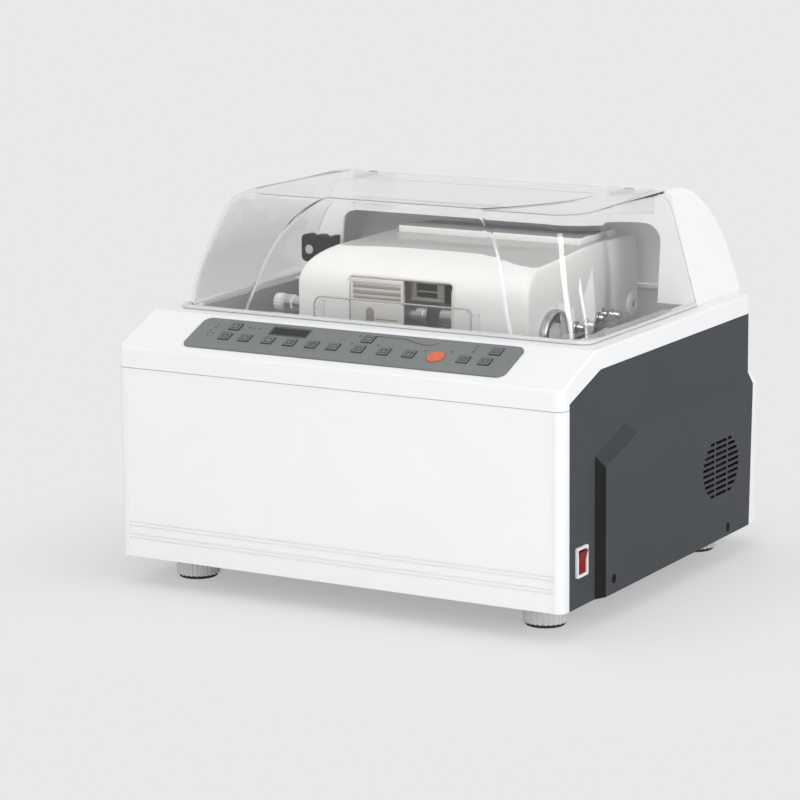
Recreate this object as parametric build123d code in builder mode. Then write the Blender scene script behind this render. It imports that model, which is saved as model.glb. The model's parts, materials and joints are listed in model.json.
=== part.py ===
from build123d import *
from math import atan2, cos, degrees, radians, sin, sqrt
import os

os.makedirs("parts", exist_ok=True)

# Lens edger for a bench: a white case on four feet, a sloped key panel, a clear hood over a wet
# chamber, and a grinding head that carries the lens over a stack of wheels.
# X runs to the right, Y to the back and Z up, in mm. Z = 0 is the bench, X = Y = 0 its centre line.

# ------------------------------------------------------------------ driving sizes: case
width = 530.0
depth = 480.0
height = 400.0
foot_height = 30.0
side_bulge = 6.0
rear_bulge = 15.0
canopy_height = 120.0
console_drop = 28.5
console_depth = 70.0
top_cover_height = 49.0
wall = 3.0
front_wall = 4.0
corner_r = 9.0
rear_corner_r = 44.0
seam_gap = 0.6
fit_gap = 0.5
run_gap = 0.05

half_w = width / 2
flat_x = half_w - side_bulge
front_y = -depth / 2
rear_y = depth / 2
upper_rear_y = rear_y - rear_bulge
upper_corner_r = rear_corner_r - side_bulge
deck_z = height - canopy_height
seam_z = deck_z - top_cover_height

# side panel outline, as (Y, Z)
side_front_y = front_y + 15.0
side_front_top_z = deck_z - 44.0
side_knee_y = front_y + 82.0
side_rim_z = deck_z - 21.0
side_rear_y = rear_y - 46.0
side_rear_low_y = side_rear_y - 7.0
pad_low_z = deck_z - 96.0
pad_high_z = pad_low_z + 12.0

# raised pad of the side panel: its foot line on the flat and its crest
pad_front_y = front_y + 69.0
pad_front_z = pad_low_z - 9.0
pad_knee_y = pad_front_y + 67.0
pad_bevel = 13.0

# front panel
field_side = 10.0
field_recess = 1.0
groove_zs = [foot_height + rise for rise in (20.0, 24.0, 33.0, 37.0)]
groove_width = 1.4
groove_depth = 0.8

# console slope and the plate on it
console_edge_z = deck_z - console_drop
console_back_y = front_y + console_depth
rear_bevel = (18.0, 5.0, 7.0, 20.0)
rim_r = 2.5
plate_width = 374.0
plate_height = 55.0
plate_v = 40.5
plate_corner = 9.0
plate_thick = 2.5
plate_recess = 1.0
window_margin_x = 15.0
window_low_v = 25.0
window_high_v = 65.0

# keys, by (X, distance up the slope)
key_size = 12.5
key_gap = 0.3
key_proud = 0.8
key_travel = 1.0
key_flange = 1.2
flange_margin = 1.0
key_stem_r = 2.0
cap_corner = 1.0
lower_row_v = 36.0
upper_row_v = 55.0
lower_row_x = (-146.0, -122.0, -94.0, -68.0, -42.0, -17.0, 12.5, 42.0, 71.0, 132.5, 157.0)
upper_row_x = (-144.0, 14.0, 160.0)
start_key_x = 101.5
start_key_r = 9.5
display_x = -78.5
display_v = 54.5
display_width = 43.0
display_height = 13.0
display_sink = 0.3
lamp_r = 1.2
lamp_proud = 0.3
lamp_points = (
    (-166.0, 56.0), (-166.0, 50.5), (-169.5, 45.0), (-169.5, 40.0), (-163.5, 40.0), (-167.0, 34.5),
    (-128.0, 56.0), (-121.5, 56.0), (-115.0, 56.0), (2.0, 60.0), (0.0, 45.0), (30.0, 46.5),
    (85.0, 46.0), (114.0, 48.0), (136.0, 61.0), (136.0, 56.0), (136.0, 51.0),
)

# hood and rear housing share one rounded form
canopy_half_low = half_w - 24.0
canopy_half_high = canopy_half_low - 39.0
canopy_front_low_y = front_y + 89.0
canopy_front_high_y = canopy_front_low_y + 54.0
canopy_rear_y = rear_y - 27.0
canopy_corner_low = 40.0
canopy_corner_high = 32.0
canopy_top_r = 11.0
canopy_wall = 3.0
band_proud = 2.0
rear_arc_start = (canopy_rear_y - 83.0, height - 1.0)
rear_arc_middle = (canopy_rear_y - 23.0, height - 26.0)
rear_arc_end_z = height - 84.0
frame_low_y = canopy_rear_y - 110.0
frame_high_y = frame_low_y + 13.5
hood_gap = 1.0
hood_back_high_y = frame_high_y - 5.5
seal_height = 3.0
seal_width = 4.0
seal_gap = 0.4
mouth_margin = 9.0
mouth_half_x = canopy_half_high - mouth_margin
mouth_top_z = height - 38.0
mouth_corner = 20.0

# hood hinges
hinge_x = canopy_half_high - 46.0
hinge_y = frame_low_y + 11.0
hinge_z = height - 4.5
hinge_barrel_r = 3.0
hinge_pin_r = 1.5
knuckle_length = 10.0
lug_length = 5.0
leaf_length = 26.0
leaf_thick = 2.4
leaf_margin = 2.0
hinge_recess_width = 55.0
hinge_recess_low_z = height - 28.0
hinge_recess_y = hinge_y + 10.0

# wet chamber
chamber_half_x = canopy_half_low - 19.0
chamber_front_y = canopy_front_low_y + 15.0
chamber_floor_z = deck_z - 52.0
chamber_wall = 2.5
chamber_lip_z = chamber_floor_z + 12.0
deck_opening_rear_y = canopy_rear_y - 13.0
flange_width = 8.0
flange_thick = 1.5
flange_corner = 34.0
drain_r = 10.0
drain_length = 20.0

# grinding head
head_half_x = 137.0
head_front_y = chamber_front_y + 56.0
head_rear_y = canopy_rear_y - 37.0
head_low_z = deck_z - 30.0
head_top_z = deck_z + 61.0
head_brow_y = head_front_y + 38.0
head_brow_z = head_top_z - 19.0
head_wall = 3.0
head_round = 14.0
roof_round = 5.0
ridge_front_y = head_rear_y - 110.0
ridge_rear_y = head_rear_y - 26.0
ridge_low_x = -98.0
ridge_height = 8.0
lens_y = head_front_y + 20.0
lens_z = deck_z - 2.0
lens_shaft_r = 8.0
shaft_gap = 1.5
sleeve_gap = 1.0
mouth_low_x = -73.0
mouth_high_x = 49.0
mouth_roof_z = lens_z + 38.0
mouth_depth = 58.0
beam_x = 98.0
beam_width = 12.0
beam_height = 22.0
beam_drop = 2.0
block_half = 16.0
bar_y = head_front_y + 108.0
bar_half = 8.0
post_r = 6.0
lug_r = 14.0
pad_face_left_x = 14.0
lens_gap = 16.0
clamp_travel = 13.0
pad_thick = 4.0
pad_r = 11.0
chuck_r = 12.0
chuck_length = 8.0
sleeve_r = 13.0
sleeve_length = clamp_travel + 41.0
quill_wall = 1.0
collar_length = 6.0
collar_r = 11.0
knob_r = 9.0
knob_length = 8.0
knob_reach = 16.0

# splash guard, standing clear of a raw lens in the mouth
guard_low_x = -105.0
guard_high_x = 82.0
guard_low_z = lens_z - 14.0
guard_high_z = lens_z + 17.0
guard_thick = 2.2
guard_corner = 7.0
raw_lens_r = 35.0
raw_lens_gap = 1.0

# wheel spindle and sump
spindle_y = lens_y
spindle_z = lens_z - 88.0
spindle_r = 10.0
spindle_gap = 2.0
wheel_r = 52.0
wheel_width = 18.0
wheel_bed_x = 22.0
groove_v = 3.0
bearing_r = 16.0
bearing_width = 12.0
bearing_wall = 6.0
spindle_end = 6.0
pedestal_gap = 6.0
sump_low_x = wheel_bed_x - 72.0
sump_high_x = wheel_bed_x + 56.0
sump_front_y = spindle_y - 62.0
sump_rear_y = spindle_y + 64.0
sump_floor_z = spindle_z - 68.0
chamber_rear_y = sump_rear_y + 58.0

# motor and belt
pulley_x = 115.0
pulley_width = 14.0
pulley_rim = 1.5
pulley_end = 4.0
spindle_pulley_r = 22.0
motor_pulley_r = 30.0
belt_thick = 2.5
belt_gap = 0.3
belt_margin = 2.0
motor_r = 52.0
motor_y = sump_rear_y + motor_r + 24.0
motor_drop = 13.0
motor_low_x = -66.0
motor_high_x = 88.0
motor_shaft_r = 7.0
motor_bore_depth = 20.0
motor_ribs = 20
rib_width = 3.0
motor_cradle_half = 30.0

# bed, guide rods and cross slide
bed_half_x = half_w - 75.0
bed_front_y = spindle_y - 60.0
bed_thick = 8.0
rod_r = 7.0
rod_z = lens_z - 56.0
upright_thick = 16.0
upright_margin = 14.0
slide_travel = 20.0
slide_end_gap = 42.0
ear_thick = 11.5
pivot_y = head_rear_y - 18.0
pivot_z = lens_z - 12.0
pivot_r = 8.0
pivot_gap = 2.0
boss_r = 15.0
ear_r = 12.0
rod_front_y = pivot_y - 2.0
rod_rear_y = pivot_y + 40.0

# fittings on the head's right side: bracket with its screw, and three hose ends as (Y, Z, radius)
bracket_y = lens_y + 10.0
bracket_z = lens_z - 16.0
bracket_r = 25.0
bracket_thick = 3.0
bracket_floor = 6.0
boss_rise = 12.0
boss_back = 4.0
bracket_boss_r = 6.0
bracket_boss_length = 6.0
hose_points = (
    (lens_y + 68.0, lens_z - 15.0, 7.0),
    (lens_y + 94.0, lens_z - 18.0, 9.0),
    (lens_y + 132.0, lens_z - 17.0, 7.0),
)
hose_nut = 12.0
hose_tail = 6.0
hose_step = 2.0

# power switch
switch_y = front_y + 39.0
switch_z = foot_height + 45.8
switch_width = 24.0
switch_height = 30.5
switch_corner = 2.0
switch_neck = 2.0
switch_body_depth = 17.0
cavity_depth = 9.0
cavity_gap = 0.9
bezel_thick = 2.4
rocker_width = 17.0
rocker_height = 23.0
rocker_tilt = 8.0
rocker_sink = 1.0
rocker_rise = 3.6
rocker_dip = 1.8
rocker_root = 3.0
rocker_taper = 1.5
rocker_pin_r = 1.2
rocker_pin_reach = 1.3
pin_end_gap = 0.3

# mains inlet
inlet_x = -half_w + 75.0
inlet_z = foot_height + 50.0
inlet_width = 50.0
inlet_height = 30.0
inlet_corner = 3.0
inlet_sink = 0.2
inlet_depth = 25.0
inlet_rim = 3.0
inlet_rim_thick = 2.0
socket_width = 24.0
socket_height = 17.0
socket_depth = 18.0
inlet_pin_width = 2.0
inlet_pin_height = 4.0
inlet_pin_length = 12.0
inlet_pin_pitch = 7.0
inlet_pin_offset = 2.0

# vent and fan
vent_y = rear_y - 126.0
vent_z = foot_height + 78.0
vent_half_y = 44.7
vent_half_z = 31.0
vent_rows = 10
vent_pitch = 6.2
vent_slot = 3.2
vent_rib_y = 15.0
vent_rib = 3.5
fan_size = 92.0
fan_corner = 5.0
fan_thick = 25.0
fan_bore_r = 43.0
fan_hub_r = 18.0
fan_blades = 7
blade_width = 7.0
blade_turn = 35.0
blade_tip_gap = 2.0
blade_overlap = 1.0
fan_axle_r = 2.5
axle_short = 5.0
spider_thick = 3.0
spider_width = 5.0
rotor_end_gap = 4.0

# feet and side screws
foot_x = half_w - 58.5
foot_y = rear_y - 65.0
foot_r = 22.7
foot_flutes = 26
flute_r = 1.6
foot_pad_r = 20.5
foot_pad_height = 3.5
stud_r = 4.0
stud_gap = 0.3
stud_length = 8.0
screw_points = ((front_y + 100.0, foot_height + 15.0), (rear_y - 107.0, foot_height + 9.0))
screw_head_r = 4.6
screw_shank_r = 2.4
screw_sink = 0.2

# base tray and control board
tray_thick = 2.0
tray_lip = 18.0
board_depth = 13.0
board_thick = 1.6
board_margin_low = 10.0
board_margin_high = 8.0
push_switch = 6.0
push_switch_gap = 3.0
pillar_r = 2.5
pillar_inset = 4.0

# water valve beside the mouth
valve_x = -mouth_half_x + 7.0
valve_y = frame_low_y - 63.0
valve_z = lens_z + 43.0
valve_width = 30.0
valve_height = 30.0
valve_corner = 6.0
valve_notch_r = 4.0
valve_thick = 12.0
valve_knob_r = 5.0
valve_knob_length = 7.0
valve_knob_gap = 2.0
knob_flutes = 12
knob_flute_r = 0.6
valve_stem_r = 2.0
valve_blind = 2.0
arm_offset = 3.0
arm_width = 6.0
arm_below = 8.0
arm_above = 4.0

# ------------------------------------------------------------------ planes and shared outlines
slope_angle = atan2(deck_z - console_edge_z, console_back_y - front_y)
console = Plane(
    origin=(0, front_y, console_edge_z),
    x_dir=(1, 0, 0),
    z_dir=(0, -sin(slope_angle), cos(slope_angle)),
)
rear_edge_outline = (
    (side_rear_y, 2 * height),
    (side_rear_y, pad_low_z),
    (side_rear_low_y, foot_height),
    (side_rear_low_y, -height),
)
foot_points = [(x, y) for x in (-foot_x, foot_x) for y in (-foot_y, foot_y)]


def yz_prism(points, low_x, high_x):
    """Solid between two X planes whose outline is given as (Y, Z) points."""
    with BuildPart() as prism:
        with BuildSketch(Plane.YZ.offset(low_x)):
            with BuildLine():
                Polyline(*points, close=True)
            make_face()
        extrude(amount=high_x - low_x)
    return prism.part


def x_cylinder(radius, low_x, high_x, y, z):
    """Round bar along X between two X planes."""
    with BuildPart() as bar:
        with BuildSketch(Plane.YZ.offset(low_x)):
            with Locations((y, z)):
                Circle(radius)
        extrude(amount=high_x - low_x)
    return bar.part


def block(low, high):
    """Box between two corners."""
    with BuildPart() as box:
        with Locations(tuple((a + b) / 2 for a, b in zip(low, high))):
            Box(*[b - a for a, b in zip(low, high)])
    return box.part


def rounded_block(half_x, face_y, open_y, low_z, high_z, radius):
    """Block whose two upright corners on the face_y side are rounded."""
    with BuildPart() as shape:
        with BuildSketch(Plane.XY.offset(low_z)) as outline:
            with Locations((0, (face_y + open_y) / 2)):
                Rectangle(2 * half_x, abs(open_y - face_y))
            side = 0 if face_y < open_y else -1
            fillet(outline.vertices().group_by(Axis.Y)[side], radius)
        extrude(amount=high_z - low_z)
    return shape.part


def behind_rear_edge(gap):
    """Everything behind the side panels' rear edge, moved back by a gap."""
    points = [(y + gap, z) for y, z in rear_edge_outline]
    points += [(2 * depth, -height), (2 * depth, 2 * height)]
    return yz_prism(points, -width, width)


# ------------------------------------------------------------------ base tray
tray_x = flat_x - wall - fit_gap
tray_front_y = front_y + front_wall + fit_gap
tray_rear_y = rear_y - wall - fit_gap
stud_hole_r = stud_r + stud_gap
tray_corner_r = rear_corner_r - 2 * wall
tray_hollow = rounded_block(
    tray_x - tray_thick,
    tray_rear_y - tray_thick,
    tray_front_y + tray_thick,
    foot_height + tray_thick,
    foot_height + 2 * tray_lip,
    tray_corner_r - tray_thick,
)

with BuildPart() as base_tray:
    with BuildSketch(Plane.XY.offset(foot_height)) as tray_outline:
        with Locations((0, (tray_front_y + tray_rear_y) / 2)):
            Rectangle(2 * tray_x, tray_rear_y - tray_front_y)
        fillet(tray_outline.vertices().group_by(Axis.Y)[0], corner_r)
        fillet(tray_outline.vertices().group_by(Axis.Y)[-1], tray_corner_r)
    extrude(amount=tray_lip)
    add(tray_hollow, mode=Mode.SUBTRACT)
    with BuildSketch(Plane.XY.offset(foot_height)):
        with Locations(*foot_points):
            Circle(stud_hole_r)
    extrude(amount=tray_thick, mode=Mode.SUBTRACT)
    with BuildSketch(Plane.YZ.offset(-half_w)):
        with Locations(*screw_points):
            Circle(screw_shank_r)
    extrude(amount=width, mode=Mode.SUBTRACT)
base_tray.part.label = "base_tray"
export_step(base_tray.part, "parts/base_tray.step")

# ------------------------------------------------------------------ feet: fluted, each with a rubber pad
with BuildPart() as feet:
    with BuildSketch(Plane.XY.offset(foot_pad_height)):
        with Locations(*foot_points):
            Circle(foot_r)
            with PolarLocations(foot_r, foot_flutes):
                Circle(flute_r, mode=Mode.SUBTRACT)
    extrude(amount=foot_height - foot_pad_height)
    with BuildSketch(Plane.XY.offset(foot_height)):
        with Locations(*foot_points):
            Circle(stud_r)
    extrude(amount=stud_length)
feet.part.label = "feet"
export_step(feet.part, "parts/feet.step")

with BuildPart() as foot_pads:
    with BuildSketch(Plane.XY):
        with Locations(*foot_points):
            Circle(foot_pad_r)
    extrude(amount=foot_pad_height)
    chamfer(foot_pads.edges().group_by(Axis.Z)[0], foot_pad_height / 4)
foot_pads.part.label = "foot_pads"
export_step(foot_pads.part, "parts/foot_pads.step")

# ------------------------------------------------------------------ front cover
field_x = flat_x - field_side
front_outer = rounded_block(
    flat_x, front_y, side_front_y - seam_gap, foot_height, seam_z - seam_gap, corner_r
)
front_inner = rounded_block(
    flat_x - wall, front_y + front_wall, side_front_y + wall, 0, height, corner_r - front_wall
)

with BuildPart() as front_cover:
    add(front_outer)
    add(front_inner, mode=Mode.SUBTRACT)
    with BuildSketch(Plane.XZ.offset(-front_y)):
        with Locations((0, (foot_height + seam_z) / 2)):
            Rectangle(2 * field_x, seam_z - foot_height + wall)
    extrude(amount=-field_recess, mode=Mode.SUBTRACT)
    with BuildSketch(Plane.XZ.offset(-front_y - field_recess)):
        with Locations(*[(0, z) for z in groove_zs]):
            Rectangle(2 * field_x, groove_width)
    extrude(amount=-groove_depth, mode=Mode.SUBTRACT)
front_cover.part.label = "front_cover"
export_step(front_cover.part, "parts/front_cover.step")

# ------------------------------------------------------------------ rear cover, bulged below the pad line


def rear_form(inset, low_z, high_z):
    """Rear of the case: wide below pad_low_z and narrower above pad_high_z."""
    sections = (
        (low_z, half_w, rear_y, rear_corner_r),
        (pad_low_z, half_w, rear_y, rear_corner_r),
        (pad_high_z, flat_x, upper_rear_y, upper_corner_r),
        (high_z, flat_x, upper_rear_y, upper_corner_r),
    )
    open_y = side_rear_low_y - 4 * wall
    with BuildPart() as form:
        for z, x, y, radius in sections:
            with BuildSketch(Plane.XY.offset(z)) as outline:
                with Locations((0, (open_y + y - inset) / 2)):
                    Rectangle(2 * (x - inset), y - inset - open_y)
                fillet(outline.vertices().group_by(Axis.Y)[-1], radius - inset)
        loft(ruled=True)
    return form.part


rear_outer = rear_form(0, foot_height, seam_z - seam_gap)
rear_inner = rear_form(wall, foot_height - wall, seam_z + wall)
rear_back = behind_rear_edge(seam_gap)

with BuildPart() as rear_cover:
    add(rear_outer)
    add(rear_inner, mode=Mode.SUBTRACT)
    add(rear_back, mode=Mode.INTERSECT)
    with BuildSketch(Plane.XZ.offset(-rear_y)):
        with Locations((inlet_x, inlet_z)):
            Rectangle(inlet_width + 2 * key_gap, inlet_height + 2 * key_gap)
    extrude(amount=2 * wall, mode=Mode.SUBTRACT)
rear_cover.part.label = "rear_cover"
export_step(rear_cover.part, "parts/rear_cover.step")

# ------------------------------------------------------------------ side panels
plate_outline = (
    (side_front_y, foot_height),
    (side_front_y, side_front_top_z),
    (side_knee_y, side_rim_z),
    (side_rear_y + depth, side_rim_z),
    (side_rear_y + depth, foot_height),
)


def pad_outline(bevel, inset):
    """Outline of the raised pad as (Y, Z), drawn in by the bevel and then by the inset."""
    front = pad_front_y + bevel + inset
    slope = (pad_high_z - pad_front_z) / (pad_knee_y - pad_front_y)
    top = pad_high_z - (pad_high_z - pad_low_z) * bevel / pad_bevel - inset
    front_z = pad_front_z - bevel - inset
    return (
        (front, foot_height + inset),
        (front, front_z),
        (front + (top - front_z) / slope, top),
        (side_rear_y + depth, top),
        (side_rear_y + depth, foot_height + inset),
    )


def pad_solid(low_x, high_x, inset):
    """Raised pad between two X planes, bevelled towards its crest."""
    with BuildPart() as pad:
        for x, bevel in ((low_x, 0), (high_x, pad_bevel)):
            with BuildSketch(Plane.YZ.offset(x)):
                with BuildLine():
                    Polyline(*pad_outline(bevel, inset), close=True)
                make_face()
        loft(ruled=True)
    return pad.part


def side_panel(has_switch):
    """Right-hand side panel: flat sheet, raised hollow pad, vent and screw holes."""
    sheet = yz_prism(plate_outline, flat_x - wall, flat_x)
    pad = pad_solid(flat_x, half_w, 0)
    hollow = pad_solid(flat_x - wall, half_w - wall, wall)
    rear = behind_rear_edge(0)
    with BuildPart() as panel:
        add(sheet)
        add(pad)
        add(hollow, mode=Mode.SUBTRACT)
        add(rear, mode=Mode.SUBTRACT)
        with BuildSketch(Plane.YZ.offset(half_w)):
            for row in range(vent_rows):
                dz = (row - (vent_rows - 1) / 2) * vent_pitch
                half = vent_half_y * sqrt(1 - (dz / (vent_half_z + vent_slot)) ** 2)
                with Locations((vent_y, vent_z + dz)):
                    Rectangle(2 * half, vent_slot)
            with Locations((vent_y - vent_rib_y, vent_z), (vent_y + vent_rib_y, vent_z)):
                Rectangle(vent_rib, 3 * vent_half_z, mode=Mode.SUBTRACT)
        extrude(amount=-2 * wall, mode=Mode.SUBTRACT)
        with BuildSketch(Plane.YZ.offset(half_w)):
            with Locations(*screw_points):
                Circle(screw_head_r + key_gap)
        extrude(amount=-wall / 2, mode=Mode.SUBTRACT)
        with BuildSketch(Plane.YZ.offset(half_w)):
            with Locations(*screw_points):
                Circle(screw_shank_r + key_gap)
        extrude(amount=-2 * wall, mode=Mode.SUBTRACT)
        if has_switch:
            with BuildSketch(Plane.YZ.offset(flat_x)):
                with Locations((switch_y, switch_z)):
                    Rectangle(switch_width - switch_neck, switch_height - switch_neck)
            extrude(amount=-2 * wall, mode=Mode.SUBTRACT)
    return panel.part


right_panel = side_panel(True)
with BuildPart() as side_panel_right:
    add(right_panel)
side_panel_right.part.label = "side_panel_right"
export_step(side_panel_right.part, "parts/side_panel_right.step")

left_panel = mirror(side_panel(False), about=Plane.YZ)
with BuildPart() as side_panel_left:
    add(left_panel)
side_panel_left.part.label = "side_panel_left"
export_step(side_panel_left.part, "parts/side_panel_left.step")

# ------------------------------------------------------------------ side screws, two on each panel
with BuildPart() as panel_screws:
    for side in (-1, 1):
        head_plane = Plane.YZ.offset(side * (half_w - wall / 2))
        with BuildSketch(head_plane):
            with Locations(*screw_points):
                Circle(screw_head_r)
        extrude(amount=side * (wall / 2 - screw_sink))
        with BuildSketch(head_plane):
            with Locations(*screw_points):
                Circle(screw_shank_r)
        extrude(amount=-side * 4 * wall)
panel_screws.part.label = "panel_screws"
export_step(panel_screws.part, "parts/panel_screws.step")

# ------------------------------------------------------------------ top cover: console slope, deck and rim


def upper_plan(inset):
    """Upright prism on the outline of the upper case, drawn in by an inset."""
    with BuildPart() as plan:
        with BuildSketch() as outline:
            with Locations((0, (front_y + upper_rear_y) / 2)):
                Rectangle(2 * (flat_x - inset), upper_rear_y - front_y - 2 * inset)
            fillet(outline.vertices().group_by(Axis.Y)[0], corner_r - inset)
            fillet(outline.vertices().group_by(Axis.Y)[-1], upper_corner_r - inset)
        extrude(amount=height)
    return plan.part


def top_form(inset, low_z):
    """Solid under the console slope and the deck; the outer one has a rounded rim."""
    plan = upper_plan(inset)
    with BuildPart() as form:
        with BuildSketch(Plane.YZ.offset(-flat_x + inset)):
            with BuildLine():
                Polyline(
                    (front_y, low_z - inset),
                    (front_y, console_edge_z),
                    (console_back_y, deck_z),
                    (upper_rear_y - rear_bevel[0], deck_z),
                    (upper_rear_y - rear_bevel[1], deck_z - rear_bevel[2]),
                    (upper_rear_y, deck_z - rear_bevel[3]),
                    (upper_rear_y, low_z - inset),
                    close=True,
                )
            make_face()
            if inset:
                offset(amount=-inset, kind=Kind.INTERSECTION, mode=Mode.REPLACE)
        extrude(amount=2 * (flat_x - inset))
        add(plan, mode=Mode.INTERSECT)
        if not inset:
            high = form.edges().filter_by(lambda edge: edge.center().Z > console_edge_z - 1)
            rim = high.filter_by(
                lambda edge: abs(edge.center().X) > flat_x - corner_r or edge.center().Y < front_y + 1
            )
            fillet(rim, rim_r)
    return form.part


top_outer = top_form(0, seam_z)
top_inner = top_form(wall, seam_z - wall)
panel_gap_outline = (
    (side_front_y - seam_gap, 0),
    (side_front_y - seam_gap, side_front_top_z + seam_gap),
    (side_knee_y - seam_gap, side_rim_z + seam_gap),
    (side_rear_y + seam_gap, side_rim_z + seam_gap),
    (side_rear_y + seam_gap, 0),
)
panel_gap = yz_prism(panel_gap_outline, -width, width)
deck_cut_half_x = chamber_half_x + fit_gap
deck_cut_front_y = chamber_front_y - fit_gap

with BuildPart() as top_cover:
    add(top_outer)
    add(top_inner, mode=Mode.SUBTRACT)
    add(panel_gap, mode=Mode.SUBTRACT)
    with BuildSketch(Plane.XY.offset(deck_z)):
        with Locations((0, (deck_cut_front_y + deck_opening_rear_y) / 2)):
            Rectangle(2 * deck_cut_half_x, deck_opening_rear_y - deck_cut_front_y)
    extrude(amount=-2 * wall, mode=Mode.SUBTRACT)
    with BuildSketch(console):
        with Locations((0, plate_v)):
            RectangleRounded(
                plate_width + 2 * key_gap, plate_height + 2 * key_gap, plate_corner + key_gap
            )
    extrude(amount=-plate_recess, mode=Mode.SUBTRACT)
    with BuildSketch(console):
        with Locations((0, (window_low_v + window_high_v) / 2)):
            Rectangle(plate_width - 2 * window_margin_x, window_high_v - window_low_v)
    extrude(amount=-2 * wall, mode=Mode.SUBTRACT)
top_cover.part.label = "top_cover"
export_step(top_cover.part, "parts/top_cover.step")

# ------------------------------------------------------------------ key panel, display and lamps
grey_keys = [(x, lower_row_v) for x in lower_row_x] + [(x, upper_row_v) for x in upper_row_x]
plate_top = plate_thick - plate_recess

with BuildPart() as control_panel:
    with BuildSketch(console.offset(-plate_recess)):
        with Locations((0, plate_v)):
            RectangleRounded(plate_width, plate_height, plate_corner)
        with Locations(*grey_keys):
            Rectangle(key_size + 2 * key_gap, key_size + 2 * key_gap, mode=Mode.SUBTRACT)
        with Locations((start_key_x, lower_row_v)):
            Circle(start_key_r + key_gap, mode=Mode.SUBTRACT)
        with Locations((display_x, display_v)):
            Rectangle(display_width, display_height, mode=Mode.SUBTRACT)
        with Locations(*lamp_points):
            Circle(lamp_r, mode=Mode.SUBTRACT)
    extrude(amount=plate_thick)
control_panel.part.label = "control_panel"
export_step(control_panel.part, "parts/control_panel.step")

with BuildPart() as display_window:
    with BuildSketch(console.offset(-plate_recess)):
        with Locations((display_x, display_v)):
            Rectangle(display_width, display_height)
    extrude(amount=plate_thick - display_sink)
display_window.part.label = "display_window"
export_step(display_window.part, "parts/display_window.step")

with BuildPart() as indicator_lamps:
    with BuildSketch(console.offset(-plate_recess)):
        with Locations(*lamp_points):
            Circle(lamp_r)
    extrude(amount=plate_thick + lamp_proud)
indicator_lamps.part.label = "indicator_lamps"
export_step(indicator_lamps.part, "parts/indicator_lamps.step")

# ------------------------------------------------------------------ control board under the slope
board_width = plate_width - window_margin_x
board_low_v = window_low_v - board_margin_low
board_high_v = window_high_v + board_margin_high
switch_top = -plate_recess - key_flange - push_switch_gap - key_travel - 2 * key_gap
pillar_points = [
    (x, v)
    for x in (-board_width / 2 + pillar_inset, board_width / 2 - pillar_inset)
    for v in (board_low_v + pillar_inset, board_high_v - pillar_inset)
]

with BuildPart() as control_board:
    with BuildSketch(console.offset(-board_depth)):
        with Locations((0, (board_low_v + board_high_v) / 2)):
            Rectangle(board_width, board_high_v - board_low_v)
    extrude(amount=board_thick)
    with BuildSketch(console.offset(-board_depth + board_thick)):
        with Locations(*grey_keys, (start_key_x, lower_row_v)):
            Rectangle(push_switch, push_switch)
    extrude(amount=board_depth - board_thick + switch_top)
    with BuildSketch(console.offset(-board_depth + board_thick)):
        with Locations(*pillar_points):
            Circle(pillar_r)
    extrude(amount=board_depth - board_thick - wall)
control_board.part.label = "control_board"
export_step(control_board.part, "parts/control_board.step")

# ------------------------------------------------------------------ keys: cap, flange under the plate, stem
flange_low = -plate_recess - key_gap - key_flange
stem_low = switch_top + key_travel + key_gap


def add_key(size, x, v, round_cap):
    """Cap through the plate, a wider flange below it and a stem above its switch."""
    layers = (
        (flange_low, key_flange, size + 2 * flange_margin),
        (flange_low + key_flange, plate_top + key_proud - flange_low - key_flange, size),
    )
    with BuildPart() as key:
        for low, tall, across in layers:
            with BuildSketch(console.offset(low)):
                with Locations((x, v)):
                    if round_cap:
                        Circle(across / 2)
                    else:
                        RectangleRounded(across, across, cap_corner)
            extrude(amount=tall)
        with BuildSketch(console.offset(stem_low)):
            with Locations((x, v)):
                Circle(key_stem_r)
        extrude(amount=flange_low - stem_low)
    return key.part


for number, (key_x, key_v) in enumerate(grey_keys, start=1):
    key_shape = add_key(key_size, key_x, key_v, False)
    with BuildPart() as grey_key:
        add(key_shape)
    grey_key.part.label = f"key_{number:02d}"
    export_step(grey_key.part, f"parts/key_{number:02d}.step")

start_shape = add_key(2 * start_key_r, start_key_x, lower_row_v, True)
with BuildPart() as start_key:
    add(start_shape)
start_key.part.label = "start_key"
export_step(start_key.part, "parts/start_key.step")

# ------------------------------------------------------------------ form shared by hood and rear housing
canopy_top_z = height - band_proud


def canopy_form(grow, low_z):
    """Rounded, tapered form over the deck, moved outward by grow on every side."""
    sections = (
        (low_z, canopy_half_low, canopy_front_low_y, canopy_corner_low),
        (canopy_top_z + grow, canopy_half_high, canopy_front_high_y, canopy_corner_high),
    )
    rear = canopy_rear_y + depth
    with BuildPart() as form:
        for z, half, front, radius in sections:
            with BuildSketch(Plane.XY.offset(z)):
                with Locations((0, (front - grow + rear) / 2)):
                    RectangleRounded(2 * (half + grow), rear - front + grow, radius + grow)
        loft(ruled=True)
        rim = form.faces().sort_by(Axis.Z)[-1].edges()
        fillet(rim, canopy_top_r + grow)
    return form.part


def behind_frame(low_y, high_y, extra_y):
    """Everything behind the leaning plane through (low_y, deck) and (high_y, top)."""
    lean = (high_y - low_y) / (height - deck_z)
    below = foot_height
    points = (
        (low_y + extra_y - lean * (deck_z - below), below),
        (high_y + extra_y + lean * foot_height, height + foot_height),
        (2 * depth, height + foot_height),
        (2 * depth, below),
    )
    return yz_prism(points, -width, width)


def above(low_z):
    """Everything above a height."""
    return block((-width, -depth, low_z), (width, 2 * depth, 2 * height))


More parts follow.
